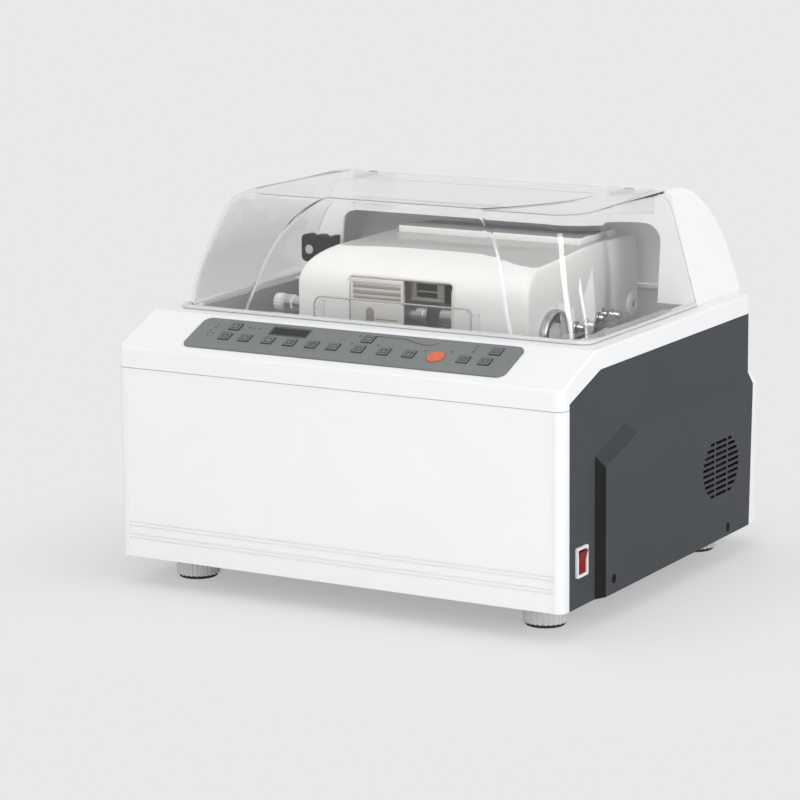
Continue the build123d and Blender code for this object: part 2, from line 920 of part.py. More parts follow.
def rear_arc_prism(inset):
    """Space under the housing's rounded rear, drawn in by the inset."""
    start_y, start_z = rear_arc_start
    middle_y, middle_z = rear_arc_middle
    end_y = canopy_rear_y - inset
    scale = 0.7 * inset
    with BuildPart() as prism:
        with BuildSketch(Plane.YZ.offset(-width)):
            with BuildLine():
                Line((-depth, 0), (-depth, start_z - inset))
                Line((-depth, start_z - inset), (start_y, start_z - inset))
                ThreePointArc(
                    (start_y, start_z - inset),
                    (middle_y - scale, middle_z - scale),
                    (end_y, rear_arc_end_z),
                )
                Line((end_y, rear_arc_end_z), (end_y, 0))
                Line((end_y, 0), (-depth, 0))
            make_face()
        extrude(amount=2 * width)
    return prism.part


form_outer = canopy_form(0, deck_z)
form_inner = canopy_form(-canopy_wall, deck_z)
form_band = canopy_form(band_proud, deck_z)

# ------------------------------------------------------------------ rear housing with the head's mouth
housing_space = behind_frame(frame_low_y, frame_high_y, 0)
housing_hollow_space = behind_frame(frame_low_y, frame_high_y, canopy_wall)
arc_outer = rear_arc_prism(0)
arc_inner = rear_arc_prism(canopy_wall)

with BuildPart() as housing_hollow:
    add(form_inner)
    add(housing_hollow_space, mode=Mode.INTERSECT)
    add(arc_inner, mode=Mode.INTERSECT)

recess_low = block(
    (hinge_x - hinge_recess_width / 2, frame_low_y - wall, hinge_recess_low_z),
    (hinge_x + hinge_recess_width / 2, hinge_recess_y, hinge_z),
)
recess_wall = block(
    (hinge_x - hinge_recess_width / 2 - wall, frame_low_y, hinge_recess_low_z - wall),
    (hinge_x + hinge_recess_width / 2 + wall, hinge_recess_y + wall, canopy_top_z - canopy_wall),
)
recess_top = block(
    (hinge_x - hinge_recess_width / 2, frame_low_y - wall, hinge_z),
    (hinge_x + hinge_recess_width / 2, hinge_y + hinge_barrel_r + 1, height + wall),
)
lug_step = knuckle_length / 2 + fit_gap
lug_arms = [
    block(
        (hinge_x + low, hinge_y, hinge_z - hinge_barrel_r),
        (hinge_x + low + lug_length, hinge_recess_y, hinge_z),
    )
    for low in (-lug_step - lug_length, lug_step)
]
lug_barrels = [
    x_cylinder(hinge_barrel_r, hinge_x + low, hinge_x + low + lug_length, hinge_y, hinge_z)
    for low in (-lug_step - lug_length, lug_step)
]
pin_bar = x_cylinder(
    hinge_pin_r, hinge_x - lug_step - lug_length, hinge_x + lug_step + lug_length, hinge_y, hinge_z
)

with BuildPart() as rear_housing:
    add(form_outer)
    add(housing_space, mode=Mode.INTERSECT)
    add(arc_outer, mode=Mode.INTERSECT)
    add(housing_hollow.part, mode=Mode.SUBTRACT)
    for mirrored in (False, True):
        for solid, mode in (
            (recess_wall & housing_space, Mode.ADD),
            (recess_low, Mode.SUBTRACT),
            (recess_top, Mode.SUBTRACT),
            *[(arm, Mode.ADD) for arm in lug_arms],
            *[(barrel, Mode.ADD) for barrel in lug_barrels],
            (pin_bar, Mode.SUBTRACT),
        ):
            add(mirror(solid, about=Plane.YZ, mode=Mode.PRIVATE) if mirrored else solid, mode=mode)
    with BuildSketch(Plane.XZ.offset(-frame_low_y + 2 * wall)):
        with Locations((0, (deck_z + mouth_top_z) / 2 - mouth_corner)):
            RectangleRounded(2 * mouth_half_x, mouth_top_z - deck_z + 2 * mouth_corner, mouth_corner)
    extrude(amount=-8 * wall, mode=Mode.SUBTRACT)
rear_housing.part.label = "rear_housing"
export_step(rear_housing.part, "parts/rear_housing.step")

with BuildPart() as hinge_pins:
    add(pin_bar)
    mirror(about=Plane.YZ)
hinge_pins.part.label = "hinge_pins"
export_step(hinge_pins.part, "parts/hinge_pins.step")

# ------------------------------------------------------------------ clear hood with a raised middle band
hood_low_z = deck_z + seal_gap + seal_height
band_points = ((157.0, 276.0), (141.0, 320.0), (124.0, 352.0), (101.0, 379.0), (84.0, 404.0))
hood_back = behind_frame(frame_low_y - hood_gap, hood_back_high_y, 0)
hood_above = above(hood_low_z)
seal_above = above(deck_z + seal_gap)

with BuildPart() as band:
    with BuildSketch(Plane.XZ.offset(-depth)):
        with BuildLine():
            right = Spline(*band_points)
            left = Spline(*[(-x, z) for x, z in band_points])
            Line(right @ 0, left @ 0)
            Line(right @ 1, left @ 1)
        make_face()
    extrude(amount=2 * depth)
    add(form_band, mode=Mode.INTERSECT)

with BuildPart() as clear_cover:
    add(form_outer)
    add(band.part)
    add(form_inner, mode=Mode.SUBTRACT)
    add(hood_back, mode=Mode.SUBTRACT)
    add(hood_above, mode=Mode.INTERSECT)
clear_cover.part.label = "clear_cover"
export_step(clear_cover.part, "parts/clear_cover.step")

seal_inner = canopy_form(-seal_width, deck_z)
with BuildPart() as cover_seal:
    add(form_outer)
    add(seal_inner, mode=Mode.SUBTRACT)
    add(hood_back, mode=Mode.SUBTRACT)
    add(seal_above, mode=Mode.INTERSECT)
    add(hood_above, mode=Mode.SUBTRACT)
cover_seal.part.label = "cover_seal"
export_step(cover_seal.part, "parts/cover_seal.step")

# ------------------------------------------------------------------ hood hinges: leaf and knuckle
hood_roof_z = canopy_top_z - canopy_wall
leaf_half = knuckle_length / 2 + leaf_margin
leaf_rear_y = hinge_y - 2 * hinge_barrel_r
leaf_front_y = leaf_rear_y - leaf_length

with BuildPart() as cover_hinges:
    with BuildSketch(Plane.XY.offset(hood_roof_z - leaf_thick)):
        with Locations((hinge_x, (leaf_front_y + leaf_rear_y) / 2)):
            Rectangle(2 * leaf_half, leaf_rear_y - leaf_front_y)
        with Locations((hinge_x, (leaf_rear_y + hinge_y) / 2)):
            Rectangle(knuckle_length, hinge_y - leaf_rear_y)
    extrude(amount=leaf_thick)
    with BuildSketch(Plane.YZ.offset(hinge_x - knuckle_length / 2)):
        with Locations((hinge_y, hinge_z)):
            Circle(hinge_barrel_r)
    extrude(amount=knuckle_length)
    with BuildSketch(Plane.YZ.offset(hinge_x - knuckle_length / 2)):
        with Locations((hinge_y, hinge_z)):
            Circle(hinge_pin_r + run_gap)
    extrude(amount=knuckle_length, mode=Mode.SUBTRACT)
    mirror(about=Plane.YZ)
cover_hinges.part.label = "cover_hinges"
export_step(cover_hinges.part, "parts/cover_hinges.step")

# ------------------------------------------------------------------ wet chamber with its sump
basin_low = chamber_floor_z - chamber_wall
sump_low = sump_floor_z - chamber_wall
basin_outer = block(
    (-chamber_half_x, chamber_front_y, basin_low), (chamber_half_x, chamber_rear_y, deck_z)
)
flange_outer = rounded_block(
    chamber_half_x + flange_width,
    chamber_front_y - flange_width,
    chamber_rear_y,
    deck_z,
    deck_z + flange_thick,
    flange_corner,
)
basin_hollow = block(
    (-chamber_half_x + chamber_wall, chamber_front_y + chamber_wall, chamber_floor_z),
    (chamber_half_x - chamber_wall, chamber_rear_y - chamber_wall, height),
)
basin_rear_cut = block(
    (-chamber_half_x + chamber_wall, chamber_rear_y - 2 * chamber_wall, chamber_lip_z),
    (chamber_half_x - chamber_wall, chamber_rear_y + chamber_wall, height),
)
sump_outer = block(
    (sump_low_x, sump_front_y, sump_low), (sump_high_x, sump_rear_y, chamber_floor_z)
)
sump_hollow = block(
    (sump_low_x + chamber_wall, sump_front_y + chamber_wall, sump_floor_z),
    (sump_high_x - chamber_wall, sump_rear_y - chamber_wall, height),
)
spindle_hole = x_cylinder(spindle_r + spindle_gap, sump_low_x - wall, sump_high_x + wall, spindle_y, spindle_z)

with BuildPart() as chamber_tray:
    add(basin_outer)
    add(flange_outer)
    add(sump_outer)
    with BuildSketch(Plane.XY.offset(sump_low)):
        with Locations((wheel_bed_x, spindle_y)):
            Circle(drain_r)
    extrude(amount=-drain_length)
    add(basin_hollow, mode=Mode.SUBTRACT)
    add(basin_rear_cut, mode=Mode.SUBTRACT)
    add(sump_hollow, mode=Mode.SUBTRACT)
    add(spindle_hole, mode=Mode.SUBTRACT)
    with BuildSketch(Plane.XY.offset(sump_floor_z)):
        with Locations((wheel_bed_x, spindle_y)):
            Circle(drain_r - chamber_wall)
    extrude(amount=-drain_length - wall, mode=Mode.SUBTRACT)
chamber_tray.part.label = "chamber_tray"
export_step(chamber_tray.part, "parts/chamber_tray.step")

# ------------------------------------------------------------------ bed, pedestals and uprights
bed_low = foot_height + tray_thick
bed_top = bed_low + bed_thick
motor_z = (bed_top + rod_z) / 2 - motor_drop
upright_front_y = rod_front_y - upright_margin
upright_rear_y = rod_rear_y + upright_margin
upright_top = rod_z + upright_margin
pedestal_half = bearing_r + bearing_wall
pedestal_top = spindle_z + pedestal_half
left_bearing_x = sump_low_x - pedestal_gap - bearing_width
right_bearing_x = sump_high_x + pedestal_gap
rod_points = ((rod_front_y, rod_z), (rod_rear_y, rod_z))
pedestals = [
    block(
        (x, spindle_y - pedestal_half, bed_top),
        (x + bearing_width, spindle_y + pedestal_half, pedestal_top),
    )
    for x in (left_bearing_x, right_bearing_x)
]
bed_slab = block((-bed_half_x, bed_front_y, bed_low), (bed_half_x, upright_rear_y, bed_top))
uprights = [
    block((x, upright_front_y, bed_top), (x + upright_thick, upright_rear_y, upright_top))
    for x in (-bed_half_x, bed_half_x - upright_thick)
]

with BuildPart() as bed_frame:
    add(bed_slab)
    for solid in pedestals + uprights:
        add(solid)
    with BuildSketch(Plane.YZ.offset(-bed_half_x)):
        with Locations((spindle_y, spindle_z)):
            Circle(bearing_r)
        with Locations(*rod_points):
            Circle(rod_r)
    extrude(amount=2 * bed_half_x, mode=Mode.SUBTRACT)
bed_frame.part.label = "bed_frame"
export_step(bed_frame.part, "parts/bed_frame.step")

with BuildPart() as spindle_bearings:
    for bearing_x in (left_bearing_x, right_bearing_x):
        with BuildSketch(Plane.YZ.offset(bearing_x)):
            with Locations((spindle_y, spindle_z)):
                Circle(bearing_r)
                Circle(spindle_r + run_gap, mode=Mode.SUBTRACT)
        extrude(amount=bearing_width)
spindle_bearings.part.label = "spindle_bearings"
export_step(spindle_bearings.part, "parts/spindle_bearings.step")

with BuildPart() as guide_rods:
    with BuildSketch(Plane.YZ.offset(-bed_half_x)):
        with Locations(*rod_points):
            Circle(rod_r)
    extrude(amount=2 * bed_half_x)
guide_rods.part.label = "guide_rods"
export_step(guide_rods.part, "parts/guide_rods.step")

# ------------------------------------------------------------------ wheel spindle, wheels and its pulley
wheel_low_x = wheel_bed_x - 1.5 * wheel_width
spindle_low_x = left_bearing_x - spindle_end
spindle_high_x = pulley_x + pulley_width / 2 + pulley_end


def wheel(low_x, groove):
    """Grinding wheel on the spindle, with a V groove round its middle if groove is set."""
    high_x = low_x + wheel_width
    middle = (low_x + high_x) / 2
    rim = [(low_x, wheel_r), (high_x, wheel_r)]
    if groove:
        rim.insert(1, (middle + groove, wheel_r))
        rim.insert(1, (middle, wheel_r - groove))
        rim.insert(1, (middle - groove, wheel_r))
    with BuildPart() as disc:
        with BuildSketch(Plane.XY):
            with BuildLine():
                Polyline((low_x, spindle_r), *rim, (high_x, spindle_r), close=True)
            make_face()
        revolve(axis=Axis.X)
    return disc.part.moved(Location((0, spindle_y, spindle_z)))


wheel_names = ("rough_wheel", "bevel_wheel", "polish_wheel")
for place, wheel_name in enumerate(wheel_names):
    groove = groove_v if wheel_name == "bevel_wheel" else 0
    wheel_shape = wheel(wheel_low_x + place * wheel_width, groove)
    with BuildPart() as grinding_wheel:
        add(wheel_shape)
    grinding_wheel.part.label = wheel_name
    export_step(grinding_wheel.part, f"parts/{wheel_name}.step")


def pulley(radius, shaft_r, y, z, low_x, shaft_low_x, shaft_high_x):
    """Flat belt pulley with two rims, in one piece with its shaft."""
    with BuildPart() as disc:
        for x, across, tall in (
            (low_x, radius + pulley_rim, pulley_rim),
            (low_x + pulley_rim, radius, pulley_width - 2 * pulley_rim),
            (low_x + pulley_width - pulley_rim, radius + pulley_rim, pulley_rim),
        ):
            with BuildSketch(Plane.YZ.offset(x)):
                with Locations((y, z)):
                    Circle(across)
            extrude(amount=tall)
        with BuildSketch(Plane.YZ.offset(shaft_low_x)):
            with Locations((y, z)):
                Circle(shaft_r)
        extrude(amount=shaft_high_x - shaft_low_x)
    return disc.part


pulley_low_x = pulley_x - pulley_width / 2
spindle_shape = pulley(
    spindle_pulley_r, spindle_r, spindle_y, spindle_z, pulley_low_x, spindle_low_x, spindle_high_x
)
with BuildPart() as wheel_spindle:
    add(spindle_shape)
wheel_spindle.part.label = "wheel_spindle"
export_step(wheel_spindle.part, "parts/wheel_spindle.step")

motor_shaft_low_x = motor_high_x - motor_bore_depth + fit_gap
motor_pulley_shape = pulley(
    motor_pulley_r, motor_shaft_r, motor_y, motor_z, pulley_low_x, motor_shaft_low_x, spindle_high_x
)
with BuildPart() as motor_pulley:
    add(motor_pulley_shape)
motor_pulley.part.label = "motor_pulley"
export_step(motor_pulley.part, "parts/motor_pulley.step")

# ------------------------------------------------------------------ wheel motor, cradle and belt
with BuildPart() as wheel_motor:
    with BuildSketch(Plane.YZ.offset(motor_low_x)):
        with Locations((motor_y, motor_z)):
            Circle(motor_r)
            with PolarLocations(motor_r, motor_ribs):
                Rectangle(rib_width, rib_width, mode=Mode.SUBTRACT)
        with Locations((motor_y, (bed_top + motor_z) / 2)):
            Rectangle(2 * motor_cradle_half, motor_z - bed_top)
    extrude(amount=motor_high_x - motor_low_x)
    with BuildSketch(Plane.YZ.offset(motor_high_x)):
        with Locations((motor_y, motor_z)):
            Circle(motor_shaft_r + run_gap)
    extrude(amount=-motor_bore_depth, mode=Mode.SUBTRACT)
wheel_motor.part.label = "wheel_motor"
export_step(wheel_motor.part, "parts/wheel_motor.step")

belt_width = pulley_width - 2 * belt_margin


def belt_loop(extra):
    """Stretched loop round both pulleys, extra beyond their running faces."""
    with BuildPart() as loop:
        with BuildSketch(Plane.YZ.offset(pulley_x - belt_width / 2)):
            with Locations((spindle_y, spindle_z)):
                Circle(spindle_pulley_r + extra)
            with Locations((motor_y, motor_z)):
                Circle(motor_pulley_r + extra)
            make_hull()
        extrude(amount=belt_width)
    return loop.part


belt_outside = belt_loop(belt_gap + belt_thick)
belt_inside = belt_loop(belt_gap)
with BuildPart() as drive_belt:
    add(belt_outside)
    add(belt_inside, mode=Mode.SUBTRACT)
drive_belt.part.label = "drive_belt"
export_step(drive_belt.part, "parts/drive_belt.step")

# ------------------------------------------------------------------ cross slide with pivot ears
slide_half_x = bed_half_x - upright_thick - slide_travel - slide_end_gap
slide_low_z = rod_z - upright_margin
slide_high_z = rod_z + upright_margin
slide_block = block(
    (-slide_half_x, upright_front_y, slide_low_z), (slide_half_x, upright_rear_y, slide_high_z)
)
ear_uprights = [
    block((x, pivot_y - ear_r, slide_high_z), (x + ear_thick, pivot_y + ear_r, pivot_z))
    for x in (-slide_half_x, slide_half_x - ear_thick)
]
ear_eyes = [
    x_cylinder(ear_r, x, x + ear_thick, pivot_y, pivot_z)
    for x in (-slide_half_x, slide_half_x - ear_thick)
]

with BuildPart() as slide_carriage:
    add(slide_block)
    for solid in ear_uprights + ear_eyes:
        add(solid)
    with BuildSketch(Plane.YZ.offset(-slide_half_x)):
        with Locations(*rod_points):
            Circle(rod_r + run_gap)
        with Locations((pivot_y, pivot_z)):
            Circle(pivot_r)
    extrude(amount=2 * slide_half_x, mode=Mode.SUBTRACT)
slide_carriage.part.label = "slide_carriage"
export_step(slide_carriage.part, "parts/slide_carriage.step")

pivot_half = head_half_x - fit_gap
with BuildPart() as pivot_shaft:
    with BuildSketch(Plane.YZ.offset(-pivot_half)):
        with Locations((pivot_y, pivot_z)):
            Circle(pivot_r)
    extrude(amount=2 * pivot_half)
pivot_shaft.part.label = "pivot_shaft"
export_step(pivot_shaft.part, "parts/pivot_shaft.step")

# ------------------------------------------------------------------ head cover: shell, mouth, ridge


def head_form(inset, low_z):
    """Head's outer form: upright front, sloped brow and flat roof, drawn in by the inset."""
    with BuildPart() as form:
        with BuildSketch(Plane.YZ.offset(-head_half_x + inset)):
            with BuildLine():
                Polyline(
                    (head_front_y, low_z - inset),
                    (head_front_y, head_brow_z),
                    (head_brow_y, head_top_z),
                    (head_rear_y, head_top_z),
                    (head_rear_y, low_z - inset),
                    close=True,
                )
            make_face()
            if inset:
                offset(amount=-inset, kind=Kind.INTERSECTION, mode=Mode.REPLACE)
        extrude(amount=2 * (head_half_x - inset))
        fillet(form.edges().filter_by(Axis.Z), head_round - inset)
    return form.part


head_outer = head_form(0, head_low_z)
head_inner = head_form(head_wall, head_low_z - head_wall)
ridge_high_x = head_half_x - head_round
ridge = block(
    (ridge_low_x, ridge_front_y, head_top_z - head_wall),
    (ridge_high_x, ridge_rear_y, head_top_z + ridge_height),
)
ridge_hollow = block(
    (ridge_low_x + head_wall, ridge_front_y + head_wall, head_top_z - 2 * head_wall),
    (ridge_high_x - head_wall, ridge_rear_y - head_wall, head_top_z + ridge_height - head_wall),
)
lining = block(
    (mouth_low_x - head_wall, head_front_y, head_low_z),
    (mouth_high_x + head_wall, head_front_y + mouth_depth + head_wall, mouth_roof_z + head_wall),
)
mouth = block(
    (mouth_low_x, head_front_y - head_wall, head_low_z - head_wall),
    (mouth_high_x, head_front_y + mouth_depth, mouth_roof_z),
)
shaft_hole = x_cylinder(lens_shaft_r + shaft_gap, -width, mouth_low_x + head_wall, lens_y, lens_z)
sleeve_hole = x_cylinder(
    sleeve_r + sleeve_gap, mouth_high_x - head_wall, mouth_high_x + 2 * head_wall, lens_y, lens_z
)
core_x = head_half_x - head_wall
pivot_boss = x_cylinder(boss_r, -head_half_x - pivot_gap, head_half_x + pivot_gap, pivot_y, pivot_z)
pivot_core = x_cylinder(boss_r, -core_x, core_x, pivot_y, pivot_z)
pivot_hole = x_cylinder(pivot_r + pivot_gap, -width, width, pivot_y, pivot_z)

with BuildPart() as head_cover:
    add(head_outer)
    fillet(head_cover.edges().group_by(Axis.Z)[-1].filter_by(Axis.Y), roof_round)
    add(head_inner, mode=Mode.SUBTRACT)
    add(ridge)
    add(ridge_hollow, mode=Mode.SUBTRACT)
    add(lining)
    add(mouth, mode=Mode.SUBTRACT)
    add(shaft_hole, mode=Mode.SUBTRACT)
    add(sleeve_hole, mode=Mode.SUBTRACT)
    add(pivot_boss - pivot_core)
    add(pivot_hole, mode=Mode.SUBTRACT)
head_cover.part.label = "head_cover"
export_step(head_cover.part, "parts/head_cover.step")

# ------------------------------------------------------------------ head frame: blocks and beams
beam_low_z = pivot_z - beam_drop
beam_high_z = beam_low_z + beam_height
roof_z = head_top_z - head_wall
post_points = ((-beam_x + post_r, bar_y), (beam_x - post_r, bar_y))
frame_solids = [
    block(
        (low_x, lens_y - block_half, lens_z - block_half),
        (high_x, lens_y + block_half, lens_z + block_half),
    )
    for low_x, high_x in (
        (-beam_x, mouth_low_x - 2 * head_wall),
        (mouth_high_x + 2 * head_wall, beam_x),
    )
]
frame_solids += [
    block((-beam_x, lens_y, beam_low_z), (-beam_x + beam_width, pivot_y, beam_high_z)),
    block((beam_x - beam_width, lens_y, beam_low_z), (beam_x, pivot_y, beam_high_z)),
    block((-beam_x, bar_y - bar_half, beam_low_z), (beam_x, bar_y + bar_half, beam_high_z)),
    x_cylinder(lug_r, -beam_x, -beam_x + beam_width, pivot_y, pivot_z),
    x_cylinder(lug_r, beam_x - beam_width, beam_x, pivot_y, pivot_z),
]
frame_bore_left = x_cylinder(lens_shaft_r + run_gap, -width, 0, lens_y, lens_z)
frame_bore_right = x_cylinder(sleeve_r + run_gap, 0, width, lens_y, lens_z)
frame_bore_pivot = x_cylinder(pivot_r + run_gap, -width, width, pivot_y, pivot_z)

with BuildPart() as head_frame:
    for solid in frame_solids:
        add(solid)
    with BuildSketch(Plane.XY.offset(beam_high_z - 1)):
        with Locations(*post_points):
            Circle(post_r)
    extrude(amount=roof_z - beam_high_z + 1)
    add(frame_bore_left, mode=Mode.SUBTRACT)
    add(frame_bore_right, mode=Mode.SUBTRACT)
    add(frame_bore_pivot, mode=Mode.SUBTRACT)
head_frame.part.label = "head_frame"
export_step(head_frame.part, "parts/head_frame.step")

# ------------------------------------------------------------------ lens shafts, each with its pad
left_end_x = -head_half_x - knob_reach


def lens_shaft(steps):
    """Stepped round shaft on the lens axis; steps are (low X, high X, radius)."""
    with BuildPart() as shaft:
        for low_x, high_x, radius in steps:
            with BuildSketch(Plane.YZ.offset(low_x)):
                with Locations((lens_y, lens_z)):
                    Circle(radius)
            extrude(amount=high_x - low_x)
    return shaft.part


chuck_left_x = pad_face_left_x - pad_thick - chuck_length
left_shaft_shape = lens_shaft(
    (
        (left_end_x - knob_length, left_end_x, knob_r),
        (left_end_x, chuck_left_x, lens_shaft_r),
        (chuck_left_x, chuck_left_x + chuck_length, chuck_r),
        (chuck_left_x + chuck_length, pad_face_left_x, pad_r),
    )
)
with BuildPart() as lens_shaft_left:
    add(left_shaft_shape)
lens_shaft_left.part.label = "lens_shaft_left"
export_step(lens_shaft_left.part, "parts/lens_shaft_left.step")

pad_face_right_x = pad_face_left_x + lens_gap
chuck_right_x = pad_face_right_x + pad_thick
sleeve_low_x = chuck_right_x + chuck_length + fit_gap
sleeve_high_x = sleeve_low_x + sleeve_length
quill_r = lens_shaft_r - quill_wall
right_shaft_shape = lens_shaft(
    (
        (pad_face_right_x, chuck_right_x, pad_r),
        (chuck_right_x, chuck_right_x + chuck_length, chuck_r),
        (chuck_right_x + chuck_length, sleeve_high_x + fit_gap, quill_r),
        (sleeve_high_x + fit_gap, sleeve_high_x + fit_gap + collar_length, collar_r),
    )
)
with BuildPart() as lens_shaft_right:
    add(right_shaft_shape)
lens_shaft_right.part.label = "lens_shaft_right"
export_step(lens_shaft_right.part, "parts/lens_shaft_right.step")

with BuildPart() as clamp_sleeve:
    with BuildSketch(Plane.YZ.offset(sleeve_low_x)):
        with Locations((lens_y, lens_z)):
            Circle(sleeve_r)
            Circle(quill_r + run_gap, mode=Mode.SUBTRACT)
    extrude(amount=sleeve_length)
clamp_sleeve.part.label = "clamp_sleeve"
export_step(clamp_sleeve.part, "parts/clamp_sleeve.step")

# ------------------------------------------------------------------ splash guard: plate on two cheeks
guard_back_y = lens_y - raw_lens_r - raw_lens_gap
cheek_low_z = guard_low_z + guard_corner
cheek_high_z = guard_high_z - guard_corner
guard_cheeks = [
    block((x, guard_back_y, cheek_low_z), (x + guard_thick, head_front_y, cheek_high_z))
    for x in (guard_low_x, guard_high_x - guard_thick)
]

with BuildPart() as splash_guard:
    with BuildSketch(Plane.XZ.offset(-guard_back_y)):
        with Locations(((guard_low_x + guard_high_x) / 2, (guard_low_z + guard_high_z) / 2)):
            RectangleRounded(guard_high_x - guard_low_x, guard_high_z - guard_low_z, guard_corner)
    extrude(amount=guard_thick)
    for cheek in guard_cheeks:
        add(cheek)
splash_guard.part.label = "splash_guard"
export_step(splash_guard.part, "parts/splash_guard.step")

# ------------------------------------------------------------------ fittings on the head's right side
with BuildPart() as side_fittings:
    with BuildSketch(Plane.YZ.offset(head_half_x)):
        with Locations((bracket_y, bracket_z)):
            Circle(bracket_r)
        with Locations((bracket_y, bracket_z - 2 * bracket_r - bracket_floor)):
            Rectangle(4 * bracket_r, 4 * bracket_r, mode=Mode.SUBTRACT)
    extrude(amount=bracket_thick)
    with BuildSketch(Plane.YZ.offset(head_half_x + bracket_thick)):
        with Locations((bracket_y + boss_back, bracket_z + boss_rise)):
            Circle(bracket_boss_r)
    extrude(amount=bracket_boss_length)
    for hose_y, hose_z, hose_r in hose_points:
        with BuildSketch(Plane.YZ.offset(head_half_x)):
            with Locations((hose_y, hose_z)):
                Circle(hose_r)
        extrude(amount=hose_nut)
        with BuildSketch(Plane.YZ.offset(head_half_x + hose_nut)):
            with Locations((hose_y, hose_z)):
                Circle(hose_r - hose_step)
        extrude(amount=hose_tail)
side_fittings.part.label = "side_fittings"
export_step(side_fittings.part, "parts/side_fittings.step")

# ------------------------------------------------------------------ water valve and its knob
valve_front_y = valve_y - valve_thick / 2
arm_x = -mouth_half_x - arm_offset
valve_arm = block(
    (arm_x - arm_width, valve_y, valve_z - arm_below), (arm_x, frame_high_y, valve_z + arm_above)
)

with BuildPart() as water_valve_body:
    with BuildSketch(Plane.XZ.offset(-valve_front_y)):
        with Locations((valve_x, valve_z)):
            RectangleRounded(valve_width, valve_height, valve_corner)
        with Locations((valve_x, valve_z + valve_height / 2)):
            Circle(valve_notch_r, mode=Mode.SUBTRACT)
    extrude(amount=-valve_thick)
    add(valve_arm)
    add(housing_space, mode=Mode.SUBTRACT)
    with BuildSketch(Plane.XZ.offset(-valve_front_y)):
        with Locations((valve_x, valve_z)):
            Circle(valve_stem_r + run_gap)
    extrude(amount=-valve_thick + valve_blind, mode=Mode.SUBTRACT)
water_valve_body.part.label = "water_valve_body"
export_step(water_valve_body.part, "parts/water_valve_body.step")

with BuildPart() as water_valve_knob:
    with BuildSketch(Plane.XZ.offset(-valve_front_y + valve_knob_gap)):
        with Locations((valve_x, valve_z)):
            Circle(valve_knob_r)
            with PolarLocations(valve_knob_r, knob_flutes):
                Circle(knob_flute_r, mode=Mode.SUBTRACT)
    extrude(amount=valve_knob_length)
    with BuildSketch(Plane.XZ.offset(-valve_front_y + valve_knob_gap)):
        with Locations((valve_x, valve_z)):
            Circle(valve_stem_r)
    extrude(amount=-valve_thick + valve_blind)
water_valve_knob.part.label = "water_valve_knob"
export_step(water_valve_knob.part, "parts/water_valve_knob.step")

# ------------------------------------------------------------------ power switch with its rocker
rocker_x = flat_x - rocker_sink

with BuildPart() as switch_frame:
    with BuildSketch(Plane.YZ.offset(flat_x)):
        with Locations((switch_y, switch_z)):
            RectangleRounded(switch_width, switch_height, switch_corner)
    extrude(amount=bezel_thick)
    with BuildSketch(Plane.YZ.offset(flat_x)):
        with Locations((switch_y, switch_z)):
            Rectangle(switch_width - switch_neck - fit_gap, switch_height - switch_neck - fit_gap)
    extrude(amount=-switch_body_depth)
    with BuildSketch(Plane.YZ.offset(flat_x + bezel_thick)):
        with Locations((switch_y, switch_z)):
            Rectangle(rocker_width + cavity_gap, rocker_height + 2 * cavity_gap)
    extrude(amount=-bezel_thick - cavity_depth, mode=Mode.SUBTRACT)
    with BuildSketch(Plane.XZ.offset(-switch_y)):
        with Locations((rocker_x, switch_z)):
            Circle(rocker_pin_r + run_gap)
    extrude(
        amount=rocker_width / 2 + rocker_pin_reach + pin_end_gap, both=True, mode=Mode.SUBTRACT
    )
switch_frame.part.label = "switch_frame"
export_step(switch_frame.part, "parts/switch_frame.step")

with BuildPart() as rocker_form:
    with BuildSketch(Plane.XZ):
        with BuildLine():
            Polyline(
                (-rocker_root, -rocker_height / 2 + rocker_taper),
                (rocker_rise, -rocker_height / 2),
                (rocker_dip, 0),
                (rocker_rise, rocker_height / 2),
                (-rocker_root, rocker_height / 2 - rocker_taper),
                close=True,
            )
        make_face()
    extrude(amount=rocker_width / 2, both=True)
    with BuildSketch(Plane.XZ):
        Circle(rocker_pin_r)
    extrude(amount=rocker_width / 2 + rocker_pin_reach, both=True)
rocker_place = Location((rocker_x, switch_y, switch_z), (0, rocker_tilt, 0))
rocker_shape = rocker_form.part.moved(rocker_place)

with BuildPart() as power_rocker:
    add(rocker_shape)
power_rocker.part.label = "power_rocker"
export_step(power_rocker.part, "parts/power_rocker.step")

# ------------------------------------------------------------------ mains inlet in the rear cover
inlet_pins = [
    (inlet_x + across * inlet_pin_pitch, inlet_z + up * inlet_pin_offset)
    for across, up in ((-1, -1), (0, 1), (1, -1))
]
with BuildPart() as inlet_socket:
    with BuildSketch(Plane.XZ.offset(-rear_y + inlet_sink)):
        with Locations((inlet_x, inlet_z)):
            RectangleRounded(inlet_width, inlet_height, inlet_corner)
    extrude(amount=inlet_depth)
    with BuildSketch(Plane.XZ.offset(-rear_y + wall)):
        with Locations((inlet_x, inlet_z)):
            Rectangle(inlet_width + 2 * inlet_rim, inlet_height + 2 * inlet_rim)
    extrude(amount=inlet_rim_thick)
    with BuildSketch(Plane.XZ.offset(-rear_y)):
        with Locations((inlet_x, inlet_z)):
            Rectangle(socket_width, socket_height)
    extrude(amount=socket_depth, mode=Mode.SUBTRACT)
    with BuildSketch(Plane.XZ.offset(-rear_y + socket_depth)):
        with Locations(*inlet_pins):
            Rectangle(inlet_pin_width, inlet_pin_height)
    extrude(amount=-inlet_pin_length)
inlet_socket.part.label = "inlet_socket"
export_step(inlet_socket.part, "parts/inlet_socket.step")

# ------------------------------------------------------------------ cooling fan behind the right vent
fan_high_x = half_w - wall - fit_gap
fan_low_x = fan_high_x - fan_thick

